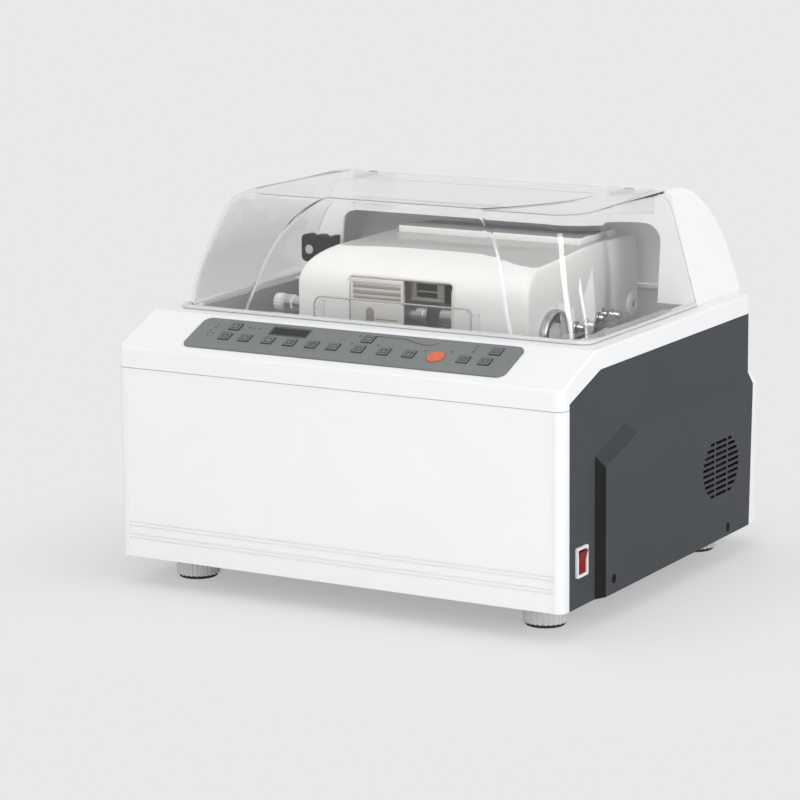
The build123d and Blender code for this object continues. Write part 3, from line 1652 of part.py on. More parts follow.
with BuildPart() as fan_frame:
    with BuildSketch(Plane.YZ.offset(fan_low_x)):
        with Locations((vent_y, vent_z)):
            RectangleRounded(fan_size, fan_size, fan_corner)
            Circle(fan_bore_r, mode=Mode.SUBTRACT)
    extrude(amount=fan_thick)
    with BuildSketch(Plane.YZ.offset(fan_low_x)):
        with Locations((vent_y, vent_z)):
            Circle(fan_hub_r)
            Rectangle(2 * fan_bore_r + spider_width / 2, spider_width)
            Rectangle(spider_width, 2 * fan_bore_r + spider_width / 2)
    extrude(amount=spider_thick)
    with BuildSketch(Plane.YZ.offset(fan_low_x)):
        with Locations((vent_y, vent_z)):
            Circle(fan_axle_r)
    extrude(amount=fan_thick - axle_short)
fan_frame.part.label = "fan_frame"
export_step(fan_frame.part, "parts/fan_frame.step")

rotor_low_x = fan_low_x + spider_thick + fit_gap
rotor_length = fan_thick - spider_thick - rotor_end_gap
blade_reach = fan_bore_r - blade_tip_gap
blade_middle = (fan_hub_r - blade_overlap + blade_reach) / 2
with BuildPart() as fan_rotor:
    with BuildSketch(Plane.YZ.offset(rotor_low_x)):
        with Locations((vent_y, vent_z)):
            Circle(fan_hub_r)
            with PolarLocations(blade_middle, fan_blades):
                Rectangle(blade_reach - fan_hub_r + blade_overlap, blade_width, rotation=blade_turn)
            Circle(fan_axle_r + run_gap, mode=Mode.SUBTRACT)
    extrude(amount=rotor_length)
fan_rotor.part.label = "fan_rotor"
export_step(fan_rotor.part, "parts/fan_rotor.step")
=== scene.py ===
"""Dressed model of a bench lens edger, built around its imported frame.

Lengths are in millimetres in the classes below and become metres when they reach a mesh or a material.
"""

import json
import logging
import math
from dataclasses import dataclass, replace
from enum import Enum

import bmesh
import bpy
import numpy as np
from mathutils import Matrix, Vector


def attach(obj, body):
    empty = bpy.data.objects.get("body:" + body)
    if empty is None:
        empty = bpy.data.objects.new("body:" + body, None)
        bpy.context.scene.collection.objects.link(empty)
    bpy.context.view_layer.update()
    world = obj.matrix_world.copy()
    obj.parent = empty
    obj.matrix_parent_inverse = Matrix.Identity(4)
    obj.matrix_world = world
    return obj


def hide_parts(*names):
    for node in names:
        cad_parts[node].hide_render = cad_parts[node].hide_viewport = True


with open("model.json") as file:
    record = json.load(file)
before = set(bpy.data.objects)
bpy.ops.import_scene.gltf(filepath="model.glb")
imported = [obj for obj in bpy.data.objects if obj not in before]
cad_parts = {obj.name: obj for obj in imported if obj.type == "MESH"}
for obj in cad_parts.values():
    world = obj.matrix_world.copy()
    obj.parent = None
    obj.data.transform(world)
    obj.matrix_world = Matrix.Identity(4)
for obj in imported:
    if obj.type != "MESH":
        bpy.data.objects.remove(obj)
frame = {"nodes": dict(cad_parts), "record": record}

LOG = logging.getLogger("edger")
MM = 0.001
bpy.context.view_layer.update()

Colour = tuple[float, float, float]
Point = tuple[float, float, float]
Skin = tuple[np.ndarray, list[list[int]]]
Piece = bpy.types.Object
Socket = bpy.types.NodeSocket
Tree = bpy.types.NodeTree


# ---------------------------------------------------------------- shared sizes of the machine
CONSOLE_DROP = 28.5
CONSOLE_DEPTH = 70.0
SLOPE = math.atan2(CONSOLE_DROP, CONSOLE_DEPTH)
DECK_Z = 280.0
LENS_Y = -60.0
LENS_Z = 278.0
HEAD_HALF_X = 137.0
QUARTER = math.pi / 2
WHOLE_TURN = 2 * math.pi


class Side(Enum):
    """Directions that a flat outline can face, as (across, up, outward) axes."""

    RIGHT = ((0, 1, 0), (0, 0, 1), (1, 0, 0))
    LEFT = ((0, -1, 0), (0, 0, 1), (-1, 0, 0))
    CONSOLE = (
        (1, 0, 0),
        (0, math.cos(SLOPE), math.sin(SLOPE)),
        (0, -math.sin(SLOPE), math.cos(SLOPE)),
    )


# ---------------------------------------------------------------- surfaces from arrays
def to_object(
    name: str, vertices: np.ndarray, faces: list[list[int]], body: str, sharp_deg: float = 32.0
) -> Piece:
    """Makes a closed mesh from arrays and lets it ride on a body.

    Args:
        name: Name of the piece.
        vertices: Points in millimetres, one row each.
        faces: Corner numbers of each face.
        body: Body of the frame that carries the piece.
        sharp_deg: Edges that turn by more than this stay sharp.

    Returns:
        The new object, at the origin with its place in its mesh.
    """
    mesh = bpy.data.meshes.new(name)
    mesh.from_pydata((vertices * MM).tolist(), [], faces)
    work = bmesh.new()
    work.from_mesh(mesh)
    bmesh.ops.remove_doubles(work, verts=work.verts, dist=1e-6)
    bmesh.ops.dissolve_degenerate(work, edges=work.edges, dist=1e-7)
    bmesh.ops.recalc_face_normals(work, faces=work.faces)
    work.to_mesh(mesh)
    work.free()
    mesh.polygons.foreach_set("use_smooth", np.ones(len(mesh.polygons), bool))
    mesh.set_sharp_from_angle(angle=math.radians(sharp_deg))
    piece = bpy.data.objects.new(name, mesh)
    bpy.context.scene.collection.objects.link(piece)
    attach(piece, body)
    return piece


def thicken(piece: Piece, thick: float, inward: bool = True) -> bpy.types.Modifier:
    """Gives an open sheet its thickness.

    Args:
        piece: Object whose mesh is the sheet.
        thick: Thickness in millimetres.
        inward: Whether it grows against the faces' outward direction.

    Returns:
        The modifier.
    """
    skin = piece.modifiers.new("thickness", "SOLIDIFY")
    skin.thickness = thick * MM
    skin.offset = -1 if inward else 1
    return skin


def share_of(value: np.ndarray, start: float | np.ndarray, end: float | np.ndarray) -> np.ndarray:
    """Share of the way from start to end that a value has gone, kept between 0 and 1."""
    return np.clip((value - start) / (end - start), 0, 1)


def smooth(share: np.ndarray) -> np.ndarray:
    """Share eased at both ends: its square times (3 less twice the share)."""
    return share**2 * (3 - 2 * share)


def grid_faces(rows: int, columns: int, closed: bool = False) -> np.ndarray:
    """Quads of a grid: corner (i, j) joins (i, j+1), (i+1, j+1) and (i+1, j).

    Args:
        rows: Rows of points.
        columns: Points in each row.
        closed: Whether the last column joins the first.

    Returns:
        Corner numbers, shape (faces, 4).
    """
    i, j = np.meshgrid(np.arange(rows - 1), np.arange(columns - 1 + closed), indexing="ij")
    k = (j + 1) % columns
    quads = np.stack([i * columns + j, i * columns + k, (i + 1) * columns + k, (i + 1) * columns + j], -1)
    return quads.reshape(-1, 4)


def loft(rings: np.ndarray) -> Skin:
    """Skin over closed rings, with a flat face on each end.

    Args:
        rings: Points of shape (rings, around, 3).

    Returns:
        Vertices and faces.
    """
    count, around, _ = rings.shape
    faces = grid_faces(count, around, closed=True).tolist()
    faces.append(list(range(around))[::-1])
    faces.append(list(range((count - 1) * around, count * around)))
    return rings.reshape(-1, 3), faces


def merged(parts: list[Skin]) -> Skin:
    """Joins several skins into one, which keeps their order.

    Args:
        parts: Vertices and faces of each.

    Returns:
        All vertices, and all faces with their corners counted on.
    """
    vertices, faces, first = [], [], 0
    for points, corners in parts:
        vertices.append(points)
        faces += [[c + first for c in face] for face in corners]
        first += len(points)
    return np.concatenate(vertices), faces


def place(flat: np.ndarray, side: Side, origin: Point) -> np.ndarray:
    """Turns (across, up, outward) coordinates into the machine's own: origin plus each axis times its own."""
    return np.asarray(origin, float) + flat @ np.asarray(side.value, float)


def rounded_outline(half_u: float, half_v: float, radius: float, steps: int = 6) -> np.ndarray:
    """Rectangle with quarter-circle corners: corner centre plus radius times (cos, sin) of the angle.

    Args:
        half_u: Half the width.
        half_v: Half the height.
        radius: Radius of the corners.
        steps: Chords in each corner.

    Returns:
        Points of shape (around, 2), anticlockwise.
    """
    radius = min(radius, half_u, half_v)
    angles = (np.arange(4)[:, None] * QUARTER + np.linspace(0, QUARTER, steps + 1)).ravel()
    centre_u = np.repeat(np.array([1, -1, -1, 1]) * (half_u - radius), steps + 1)
    centre_v = np.repeat(np.array([1, 1, -1, -1]) * (half_v - radius), steps + 1)
    return np.stack([centre_u + radius * np.cos(angles), centre_v + radius * np.sin(angles)], -1)


def closed_line(outline: np.ndarray) -> np.ndarray:
    """Outline with its first point once more at its end."""
    return np.concatenate([outline, outline[:1]])


def arch_corners(
    left: float, right: float, top: float, radius: float, steps: int
) -> tuple[np.ndarray, np.ndarray]:
    """Quarter circles at an arch's upper corners: the left one rises and the right one falls.

    Args:
        left: Where the arch's left leg stands.
        right: Where its right leg stands.
        top: Height of the arch.
        radius: Radius of its corners.
        steps: Points on each corner.

    Returns:
        Both corners, each of shape (steps, 2).
    """
    cos, sin = (radius * wave(np.linspace(0, QUARTER, steps)) for wave in (np.cos, np.sin))
    base = top - radius
    return np.stack([left + radius - cos, base + sin], -1), np.stack([right - radius + sin, base + cos], -1)


def slab(
    half_u: float, half_v: float, radius: float, low: float, high: float, edge: float, steps: int = 6
) -> np.ndarray:
    """Rounded block: the outline shrinks by edge*(1-sin t) while it rises by edge*(1-cos t) at both rims.

    Args:
        half_u: Half the width.
        half_v: Half the height.
        radius: Corner radius of the outline.
        low: Start along the outward axis.
        high: End along the outward axis.
        edge: Radius of the rounded rims.
        steps: Chords in each rounded corner.

    Returns:
        Rings of shape (rings, around, 3) in (across, up, outward) coordinates.
    """
    turn = np.linspace(0, QUARTER, 5)
    inset = np.concatenate([edge * (1 - np.sin(turn)), edge * (1 - np.sin(turn[::-1]))])
    rise = np.concatenate([low + edge * (1 - np.cos(turn)), high - edge * (1 - np.cos(turn[::-1]))])
    rings = []
    for shrink, level in zip(inset, rise):
        flat = rounded_outline(half_u - shrink, half_v - shrink, max(radius - shrink, 0.05), steps)
        rings.append(np.column_stack([flat, np.full(len(flat), level)]))
    return np.stack(rings)


def block(low: Point, high: Point, edge: float = 0.6) -> Skin:
    """Box between two corners with rounded rims and corners.

    Args:
        low: Lowest corner.
        high: Highest corner.
        edge: Radius of its rims.

    Returns:
        Vertices and faces.
    """
    low, high = np.asarray(low, float), np.asarray(high, float)
    half = (high - low) / 2
    flat = slab(half[0], half[1], edge, -half[2], half[2], min(edge, half[2] * 0.9), 3)
    return loft(flat + (low + high) / 2)


def turned(profile: np.ndarray, around: int = 32) -> np.ndarray:
    """Turned form: each (radius, outward) pair of the profile becomes a circle of that radius.

    Args:
        profile: Pairs of radius and outward place, shape (n, 2).
        around: Points in each circle.

    Returns:
        Rings of shape (n, around, 3) in (across, up, outward) coordinates.
    """
    angle = np.linspace(0, WHOLE_TURN, around, endpoint=False)
    radius = profile[:, :1]
    outward = np.repeat(profile[:, 1:], around, 1)
    return np.stack([radius * np.cos(angle), radius * np.sin(angle), outward], -1)


def tube(path: np.ndarray, radius: float, around: int = 16) -> np.ndarray:
    """Round bar along a path: circles in the plane across the path's direction, carried without twist.

    Args:
        path: Points along the middle, shape (n, 3).
        radius: Radius of the bar.
        around: Points in each circle.

    Returns:
        Rings of shape (n, around, 3).
    """
    tangent = np.gradient(path, axis=0)
    tangent /= np.linalg.norm(tangent, axis=1, keepdims=True)
    start = np.eye(3)[np.argmin(np.abs(tangent[0]))]
    across = []
    for direction in tangent:
        start = start - direction * (start @ direction)
        start = start / np.linalg.norm(start)
        across.append(start)
    across = np.stack(across)
    other = np.cross(tangent, across)
    angle = np.linspace(0, WHOLE_TURN, around, endpoint=False)
    ring = across[:, None] * np.cos(angle)[None, :, None] + other[:, None] * np.sin(angle)[None, :, None]
    return path[:, None] + radius * ring


# ---------------------------------------------------------------- shader nodes
def feed(made: bpy.types.Node, inputs: dict[str | int, object]) -> None:
    """Sets inputs of a node.

    Args:
        made: The node.
        inputs: For each input, by its name or number, a plain value or the output that feeds it.
    """
    for name, value in inputs.items():
        if isinstance(value, Socket):
            made.id_data.links.new(value, made.inputs[name])
        else:
            made.inputs[name].default_value = value


def node(
    tree: Tree, kind: str, inputs: dict[str | int, object] | None = None, **settings: object
) -> bpy.types.Node:
    """Adds a shader node.

    Args:
        tree: Tree that gets the node.
        kind: Its type, without the word that all shader nodes start with.
        inputs: What its inputs take, as in feed.
        **settings: Its properties, such as an operation.

    Returns:
        The new node.
    """
    made = tree.nodes.new("ShaderNode" + kind)
    for name, value in settings.items():
        setattr(made, name, value)
    feed(made, inputs or {})
    return made


def ramp(tree: Tree, source: Socket, low: float, high: float, to_low: float, to_high: float) -> Socket:
    """Straight-line change of a value from one range to another.

    Args:
        tree: Tree that gets the node.
        source: The value.
        low: Start of its range.
        high: End of its range.
        to_low: Result at the start.
        to_high: Result at the end.

    Returns:
        The result.
    """
    limits = {"From Min": low, "From Max": high, "To Min": to_low, "To Max": to_high}
    return node(tree, "MapRange", {"Value": source, **limits}).outputs["Result"]


def blend(
    tree: Tree, share: Socket, first: Socket | tuple, second: Socket | tuple, how: str = "MIX"
) -> Socket:
    """Mixes two colours.

    Args:
        tree: Tree that gets the node.
        share: Share of the second colour.
        first: Colour, plain or from an output.
        second: The other colour.
        how: Kind of mixture.

    Returns:
        The mixed colour.
    """
    return node(tree, "Mix", {0: share, 6: first, 7: second}, data_type="RGBA", blend_type=how).outputs[2]


def greatest(tree: Tree, *values: Socket) -> Socket:
    """Greatest of several values.

    Args:
        tree: Tree that gets the nodes.
        *values: The values.

    Returns:
        The greatest.
    """
    result, *others = values
    for other in others:
        result = node(tree, "Math", {0: result, 1: other}, operation="MAXIMUM").outputs[0]
    return result


def choose(tree: Tree, share: Socket, first: Socket, second: Socket, end: bpy.types.Node) -> None:
    """Ends a tree in a mixture of two shaders.

    Args:
        tree: Tree of a material or of the world.
        share: Share of the second shader.
        first: Shader where the share is 0.
        second: Shader where the share is 1.
        end: Output node of the tree.
    """
    feed(end, {"Surface": node(tree, "MixShader", {0: share, 1: first, 2: second}).outputs[0]})


def fresh(name: str) -> tuple[bpy.types.Material, Tree, bpy.types.Node]:
    """Starts a material.

    Args:
        name: Its name.

    Returns:
        The new material, its tree and its main shader.
    """
    material = bpy.data.materials.new(name)
    material.use_nodes = True
    return material, material.node_tree, material.node_tree.nodes["Principled BSDF"]


# ---------------------------------------------------------------- finishes
@dataclass(frozen=True)
class Finish:
    """A surface: colour with soft mottling, roughness that wanders, and a fine skin in relief.

    Attributes:
        name: Name of the finish.
        colour: Linear colour.
        roughness: Middle roughness.
        spread: How far the roughness wanders to either side.
        mottle: Share by which the colour darkens in its cloudy patches.
        patch: Size of a patch.
        skin: Height of the fine relief.
        grain: Size of a grain of the relief.
        metallic: 1 for bare metal.
        coat: Weight of a clear coat.
        rounding: Radius that soft edges take.
        stretch: How much longer the grain is along X than across it.
        specks: Colour of sparse specks, or None.
        shade: Share by which surfaces darken as they turn towards shade_to, a painted shade.
        shade_to: Direction in which the painted shade darkens them.
        glaze: Roughness of the clear coat.
        sheen: Strength of the mirror-like share, 0.5 for common plastics.
        record_slot: Slot of the record that the finish stands under, where its own name isn't one. Not used.
    """

    name: str
    colour: Colour
    roughness: float
    spread: float = 0.05
    mottle: float = 0.03
    patch: float = 60.0
    skin: float = 0.0
    grain: float = 0.8
    metallic: float = 0.0
    coat: float = 0.0
    rounding: float = 0.6
    stretch: float = 1.0
    specks: Colour | None = None
    shade: float = 0.0
    shade_to: Point = (0.0, -1.0, 0.0)
    glaze: float = 0.08
    sheen: float = 0.5
    record_slot: str = ""

    def shaded(self, tree: Tree, colour: Socket) -> Socket:
        """Colour that darkens on faces turned one way: a painted shade.

        Args:
            tree: Tree of the material.
            colour: Colour before shading.

        Returns:
            The darkened colour.
        """
        normal = node(tree, "NewGeometry").outputs["Normal"]
        turned_to = node(tree, "VectorMath", {0: normal, 1: self.shade_to}, operation="DOT_PRODUCT")
        share = ramp(tree, turned_to.outputs["Value"], 0.05, 0.3, 0, 1)
        left = 1 - self.shade
        return blend(tree, share, colour, (left, left, left, 1), "MULTIPLY")

    def make(self) -> bpy.types.Material:
        """Builds the material: clouds and specks in the colour, grains in the roughness and the relief.

        Returns:
            The material.
        """
        material, tree, shader = fresh(self.name)
        where = node(tree, "TexCoord").outputs["Object"]
        longer = {"Vector": where, "Scale": (1 / self.stretch, 1, 1)}
        drawn_out = node(tree, "Mapping", longer).outputs["Vector"]
        clouds = node(tree, "TexNoise", {"Vector": where, "Scale": 1 / (self.patch * MM), "Detail": 4.0})
        fine = {"Vector": drawn_out, "Scale": 1 / (self.grain * MM)}
        grains = node(tree, "TexNoise", {**fine, "Detail": 2.0}).outputs["Fac"]

        cloudy = (*[c * (1 - self.mottle) for c in self.colour], 1)
        colour = blend(tree, ramp(tree, clouds.outputs["Fac"], 0.35, 0.65, 0, 1), (*self.colour, 1), cloudy)
        if self.specks:
            dots = node(tree, "TexVoronoi", fine).outputs["Distance"]
            colour = blend(tree, ramp(tree, dots, 0.2, 0.35, 1, 0), colour, (*self.specks, 1))
        # painted shade: the colour darkens on faces turned towards shade_to
        if self.shade:
            colour = self.shaded(tree, colour)
        least, most = max(self.roughness - self.spread, 0.02), min(self.roughness + self.spread, 1.0)
        normal = node(tree, "Bevel", {"Radius": self.rounding * MM}, samples=4).outputs["Normal"]
        if self.skin:
            relief = {"Strength": 0.6, "Distance": self.skin * MM, "Height": grains, "Normal": normal}
            normal = node(tree, "Bump", relief).outputs["Normal"]
        feed(shader, {
            "Base Color": colour,
            "Roughness": ramp(tree, grains, 0.3, 0.7, least, most),
            "Normal": normal,
            "Metallic": self.metallic,
            "Specular IOR Level": self.sheen,
            "Coat Weight": self.coat,
            "Coat Roughness": self.glaze,
        })
        return material


@dataclass(frozen=True)
class ClearSheet:
    """Clear moulded sheet that bends and mirrors light, with faint clouds in its polish.

    Attributes:
        name: Name of the finish.
        colour: Linear tint of the sheet.
        roughness: Roughness of its polish.
        painted_highlight: Share of the surface that is white and not clear, a painted highlight.
        index: Refractive index.
        painted_reflection_low: Share of light that the side turned to the looker lets through low down,
            besides the tint; what it holds back is a painted reflection of the dark chamber.
        painted_reflection_high: The same high up.
        rise: Heights between which that share changes.
        record_slot: Slot of the record that the finish stands under, where its own name isn't one. Not used.
    """

    name: str
    colour: Colour
    roughness: float = 0.02
    painted_highlight: float = 0.0
    index: float = 1.5
    painted_reflection_low: float = 1.0
    painted_reflection_high: float = 1.0
    rise: tuple[float, float] = (330.0, 380.0)
    record_slot: str = ""

    def tint(self, tree: Tree, where: Socket) -> Socket:
        """Painted reflection of the dark chamber: the colour times a share that grows with height, on the
        facing side only.

        Args:
            tree: Tree of the material.
            where: Place on the object.

        Returns:
            The tint.
        """
        height = node(tree, "SeparateXYZ", {0: where}).outputs["Z"]
        low, high = (level * MM for level in self.rise)
        share = ramp(tree, height, low, high, self.painted_reflection_low, self.painted_reflection_high)
        darker = node(tree, "VectorMath", {0: self.colour, "Scale": share}, operation="SCALE").outputs[0]
        return blend(tree, node(tree, "NewGeometry").outputs["Backfacing"], darker, (*self.colour, 1))

    def make(self) -> bpy.types.Material:
        """Builds the material: shadows and soft light pass straight through.

        Returns:
            The material.
        """
        material, tree, shader = fresh(self.name)
        where = node(tree, "TexCoord").outputs["Object"]
        clouds = node(tree, "TexNoise", {"Vector": where, "Scale": 30.0, "Detail": 3.0}).outputs["Fac"]
        feed(shader, {
            # the facing side darkens as a painted reflection of the dark chamber
            "Base Color": self.tint(tree, where) if self.painted_reflection_low < 1.0 else (*self.colour, 1),
            "Roughness": ramp(tree, clouds, 0.3, 0.7, self.roughness * 0.6, self.roughness * 1.4),
            "IOR": self.index,
            # the share that is not clear shows a white surface, a painted highlight
            "Transmission Weight": 1.0 - self.painted_highlight,
        })
        clear = node(tree, "BsdfTransparent", {"Color": (0.985, 0.985, 0.985, 1)}).outputs[0]
        path = node(tree, "LightPath").outputs
        passing = greatest(tree, path["Is Shadow Ray"], path["Is Diffuse Ray"])
        choose(tree, passing, shader.outputs[0], clear, tree.nodes["Material Output"])
        return material


FINISHES: dict[str, Finish | ClearSheet] = {
    finish.name: finish
    for finish in (
        Finish("case_white", (0.86, 0.865, 0.875), 0.34, mottle=0.012, skin=0.01, coat=0.15),
        # panel_grey: its bevels that face forward are darkened, a painted shade
        Finish(
            "panel_grey", (0.045, 0.052, 0.059), 0.52, mottle=0.06, skin=0.05, grain=0.5, shade=0.93,
            sheen=0.22
        ),
        Finish("tray_metal", (0.3, 0.31, 0.32), 0.5, mottle=0.08, skin=0.03),
        Finish("keypad_plate", (0.18, 0.193, 0.192), 0.42, mottle=0.05, skin=0.01, grain=0.4),
        Finish("key_dark", (0.06, 0.068, 0.07), 0.4, mottle=0.05, skin=0.01, grain=0.3),
        Finish("key_orange", (0.68, 0.14, 0.055), 0.35, mottle=0.08, patch=6, coat=0.2),
        Finish("display_dark", (0.012, 0.018, 0.016), 0.3, mottle=0.1, sheen=0.25),
        Finish("lamp_lens", (0.05, 0.06, 0.055), 0.15, mottle=0.1, coat=0.8),
        Finish("board_green", (0.03, 0.16, 0.07), 0.4, mottle=0.3, patch=8),
        Finish("seal_clear", (0.66, 0.67, 0.68), 0.35, mottle=0.03),
        Finish("foot_white", (0.8, 0.8, 0.79), 0.42, mottle=0.05, skin=0.02),
        Finish("rubber_black", (0.02, 0.02, 0.021), 0.8, mottle=0.2, skin=0.05),
        # head_cream: faces turned to the right are darkened, a painted shade
        Finish(
            "head_cream", (0.95, 0.93, 0.895), 0.34, mottle=0.02, skin=0.008, coat=0.25, rounding=1.0,
            glaze=0.2, shade=0.12, shade_to=(1.0, 0.0, 0.0)
        ),
        Finish(
            "mouth_beige", (0.78, 0.75, 0.7), 0.36, mottle=0.05, skin=0.01, coat=0.4, rounding=0.8,
            record_slot="head_cream"
        ),
        # the head's roof: the cream plastic painted a darker grey, a painted shade
        Finish(
            "roof_painted_shade", (0.42, 0.41, 0.4), 0.4, mottle=0.02, coat=0.3, rounding=1.0,
            record_slot="head_cream"
        ),
        # dark grey on the ridge's top: a painted shadow of the housing
        Finish("ridge_painted_shadow", (0.2, 0.205, 0.21), 0.45, mottle=0.05, skin=0.01, record_slot="basin_grey"),
        # arm_shade: a darker brown on the grooves, the arch and the slotted plate in the mouth, a painted
        # shade of the recess
        Finish(
            "arm_shade", (0.36, 0.33, 0.29), 0.34, mottle=0.12, patch=20, skin=0.01, coat=0.4,
            record_slot="basin_grey"
        ),
        Finish("guard_edge", (0.45, 0.45, 0.44), 0.15, mottle=0.05, coat=0.8, record_slot="seal_clear"),
        Finish("knob_pale", (0.8, 0.8, 0.78), 0.32, mottle=0.04, coat=0.3, record_slot="switch_white"),
        Finish("print_pale", (0.4, 0.42, 0.42), 0.45, mottle=0.05, record_slot="keypad_plate"),
        Finish("print_dark", (0.05, 0.055, 0.055), 0.45, mottle=0.05, record_slot="key_dark"),
        Finish(
            "dark_chrome", (0.5, 0.5, 0.5), 0.16, spread=0.06, mottle=0.2, patch=8, metallic=1.0,
            record_slot="chrome"
        ),
        Finish("basin_grey", (0.33, 0.34, 0.345), 0.4, mottle=0.06, skin=0.02),
        Finish("steel", (0.6, 0.6, 0.61), 0.3, mottle=0.08, metallic=1.0, grain=0.2, stretch=14.0),
        Finish("chrome", (0.78, 0.79, 0.8), 0.1, spread=0.04, mottle=0.05, metallic=1.0),
        Finish("cast_alloy", (0.58, 0.59, 0.6), 0.45, mottle=0.1, metallic=1.0, skin=0.05),
        Finish("motor_grey", (0.13, 0.14, 0.16), 0.45, mottle=0.1, skin=0.05),
        Finish(
            "wheel_rough", (0.36, 0.33, 0.27), 0.6, metallic=0.6, grain=0.5, skin=0.2, specks=(0.6, 0.58, 0.5)
        ),
        Finish(
            "wheel_fine", (0.5, 0.42, 0.3), 0.5, metallic=0.6, grain=0.25, skin=0.1, specks=(0.7, 0.62, 0.5)
        ),
        Finish("switch_white", (0.82, 0.82, 0.82), 0.3, coat=0.3),
        Finish("switch_red", (0.24, 0.001, 0.003), 0.3, mottle=0.12, patch=5, sheen=0.08),
        Finish("black_plastic", (0.003, 0.003, 0.003), 0.3, mottle=0.1, skin=0.01, sheen=0.05),
        Finish("screw_black", (0.004, 0.004, 0.005), 0.6, mottle=0.1, sheen=0.1),
        ClearSheet("hood_clear", (0.985, 0.99, 0.995)),
        # hood_edge: the band's sloping edge is a quarter white, a painted highlight along it
        ClearSheet("hood_edge", (0.98, 0.98, 0.99), 0.15, 0.25, record_slot="hood_clear"),
        # hood_inside: the side turned to the looker darkens, more low down, a painted reflection of the dark
        # chamber
        ClearSheet("hood_inside", (0.99, 0.99, 0.98), painted_reflection_low=0.48, painted_reflection_high=0.85, record_slot="hood_clear"),
    )
}


class Wardrobe:
    """Holds one material for each finish and puts them on new pieces and on the frame's own nodes."""

    def __init__(self) -> None:
        """Makes each finish's material once."""
        self.materials = {name: finish.make() for name, finish in FINISHES.items()}

    def wear(self, piece: Piece, *names: str) -> Piece:
        """Gives a new piece its finishes.

        Args:
            piece: Object to dress.
            *names: Its finishes, by the number that its faces give.

        Returns:
            The same object.
        """
        piece.data.materials.clear()
        for name in names:
            piece.data.materials.append(self.materials[name])
        return piece

    def piece(self, name: str, parts: list[Skin], body: str, finish: str, sharp_deg: float = 32.0) -> Piece:
        """Makes one dressed piece of several closed parts.

        Args:
            name: Name of the piece.
            parts: Vertices and faces of each part.
            body: Body that carries it.
            finish: Its finish.
            sharp_deg: Edges that turn by more than this stay sharp.

        Returns:
            The new object.
        """
        return self.wear(to_object(name, *merged(parts), body, sharp_deg), finish)

    def dress_nodes(self) -> None:
        """Puts each node's finish on it, by the record's own table."""
        for entry in frame["record"]["subparts"]:
            thing = frame["nodes"][entry["node"]]
            thing.data.materials.clear()
            thing.data.materials.append(self.materials[entry["material_slot"]])


@dataclass
class SubAssembly:
    """Part of the machine that makes its own pieces.

    Attributes:
        wardrobe: Finishes.
    """

    wardrobe: Wardrobe

    def build(self) -> list[Piece]:
        """Makes the pieces, dressed and riding on their bodies; each kind has its own."""
        raise NotImplementedError


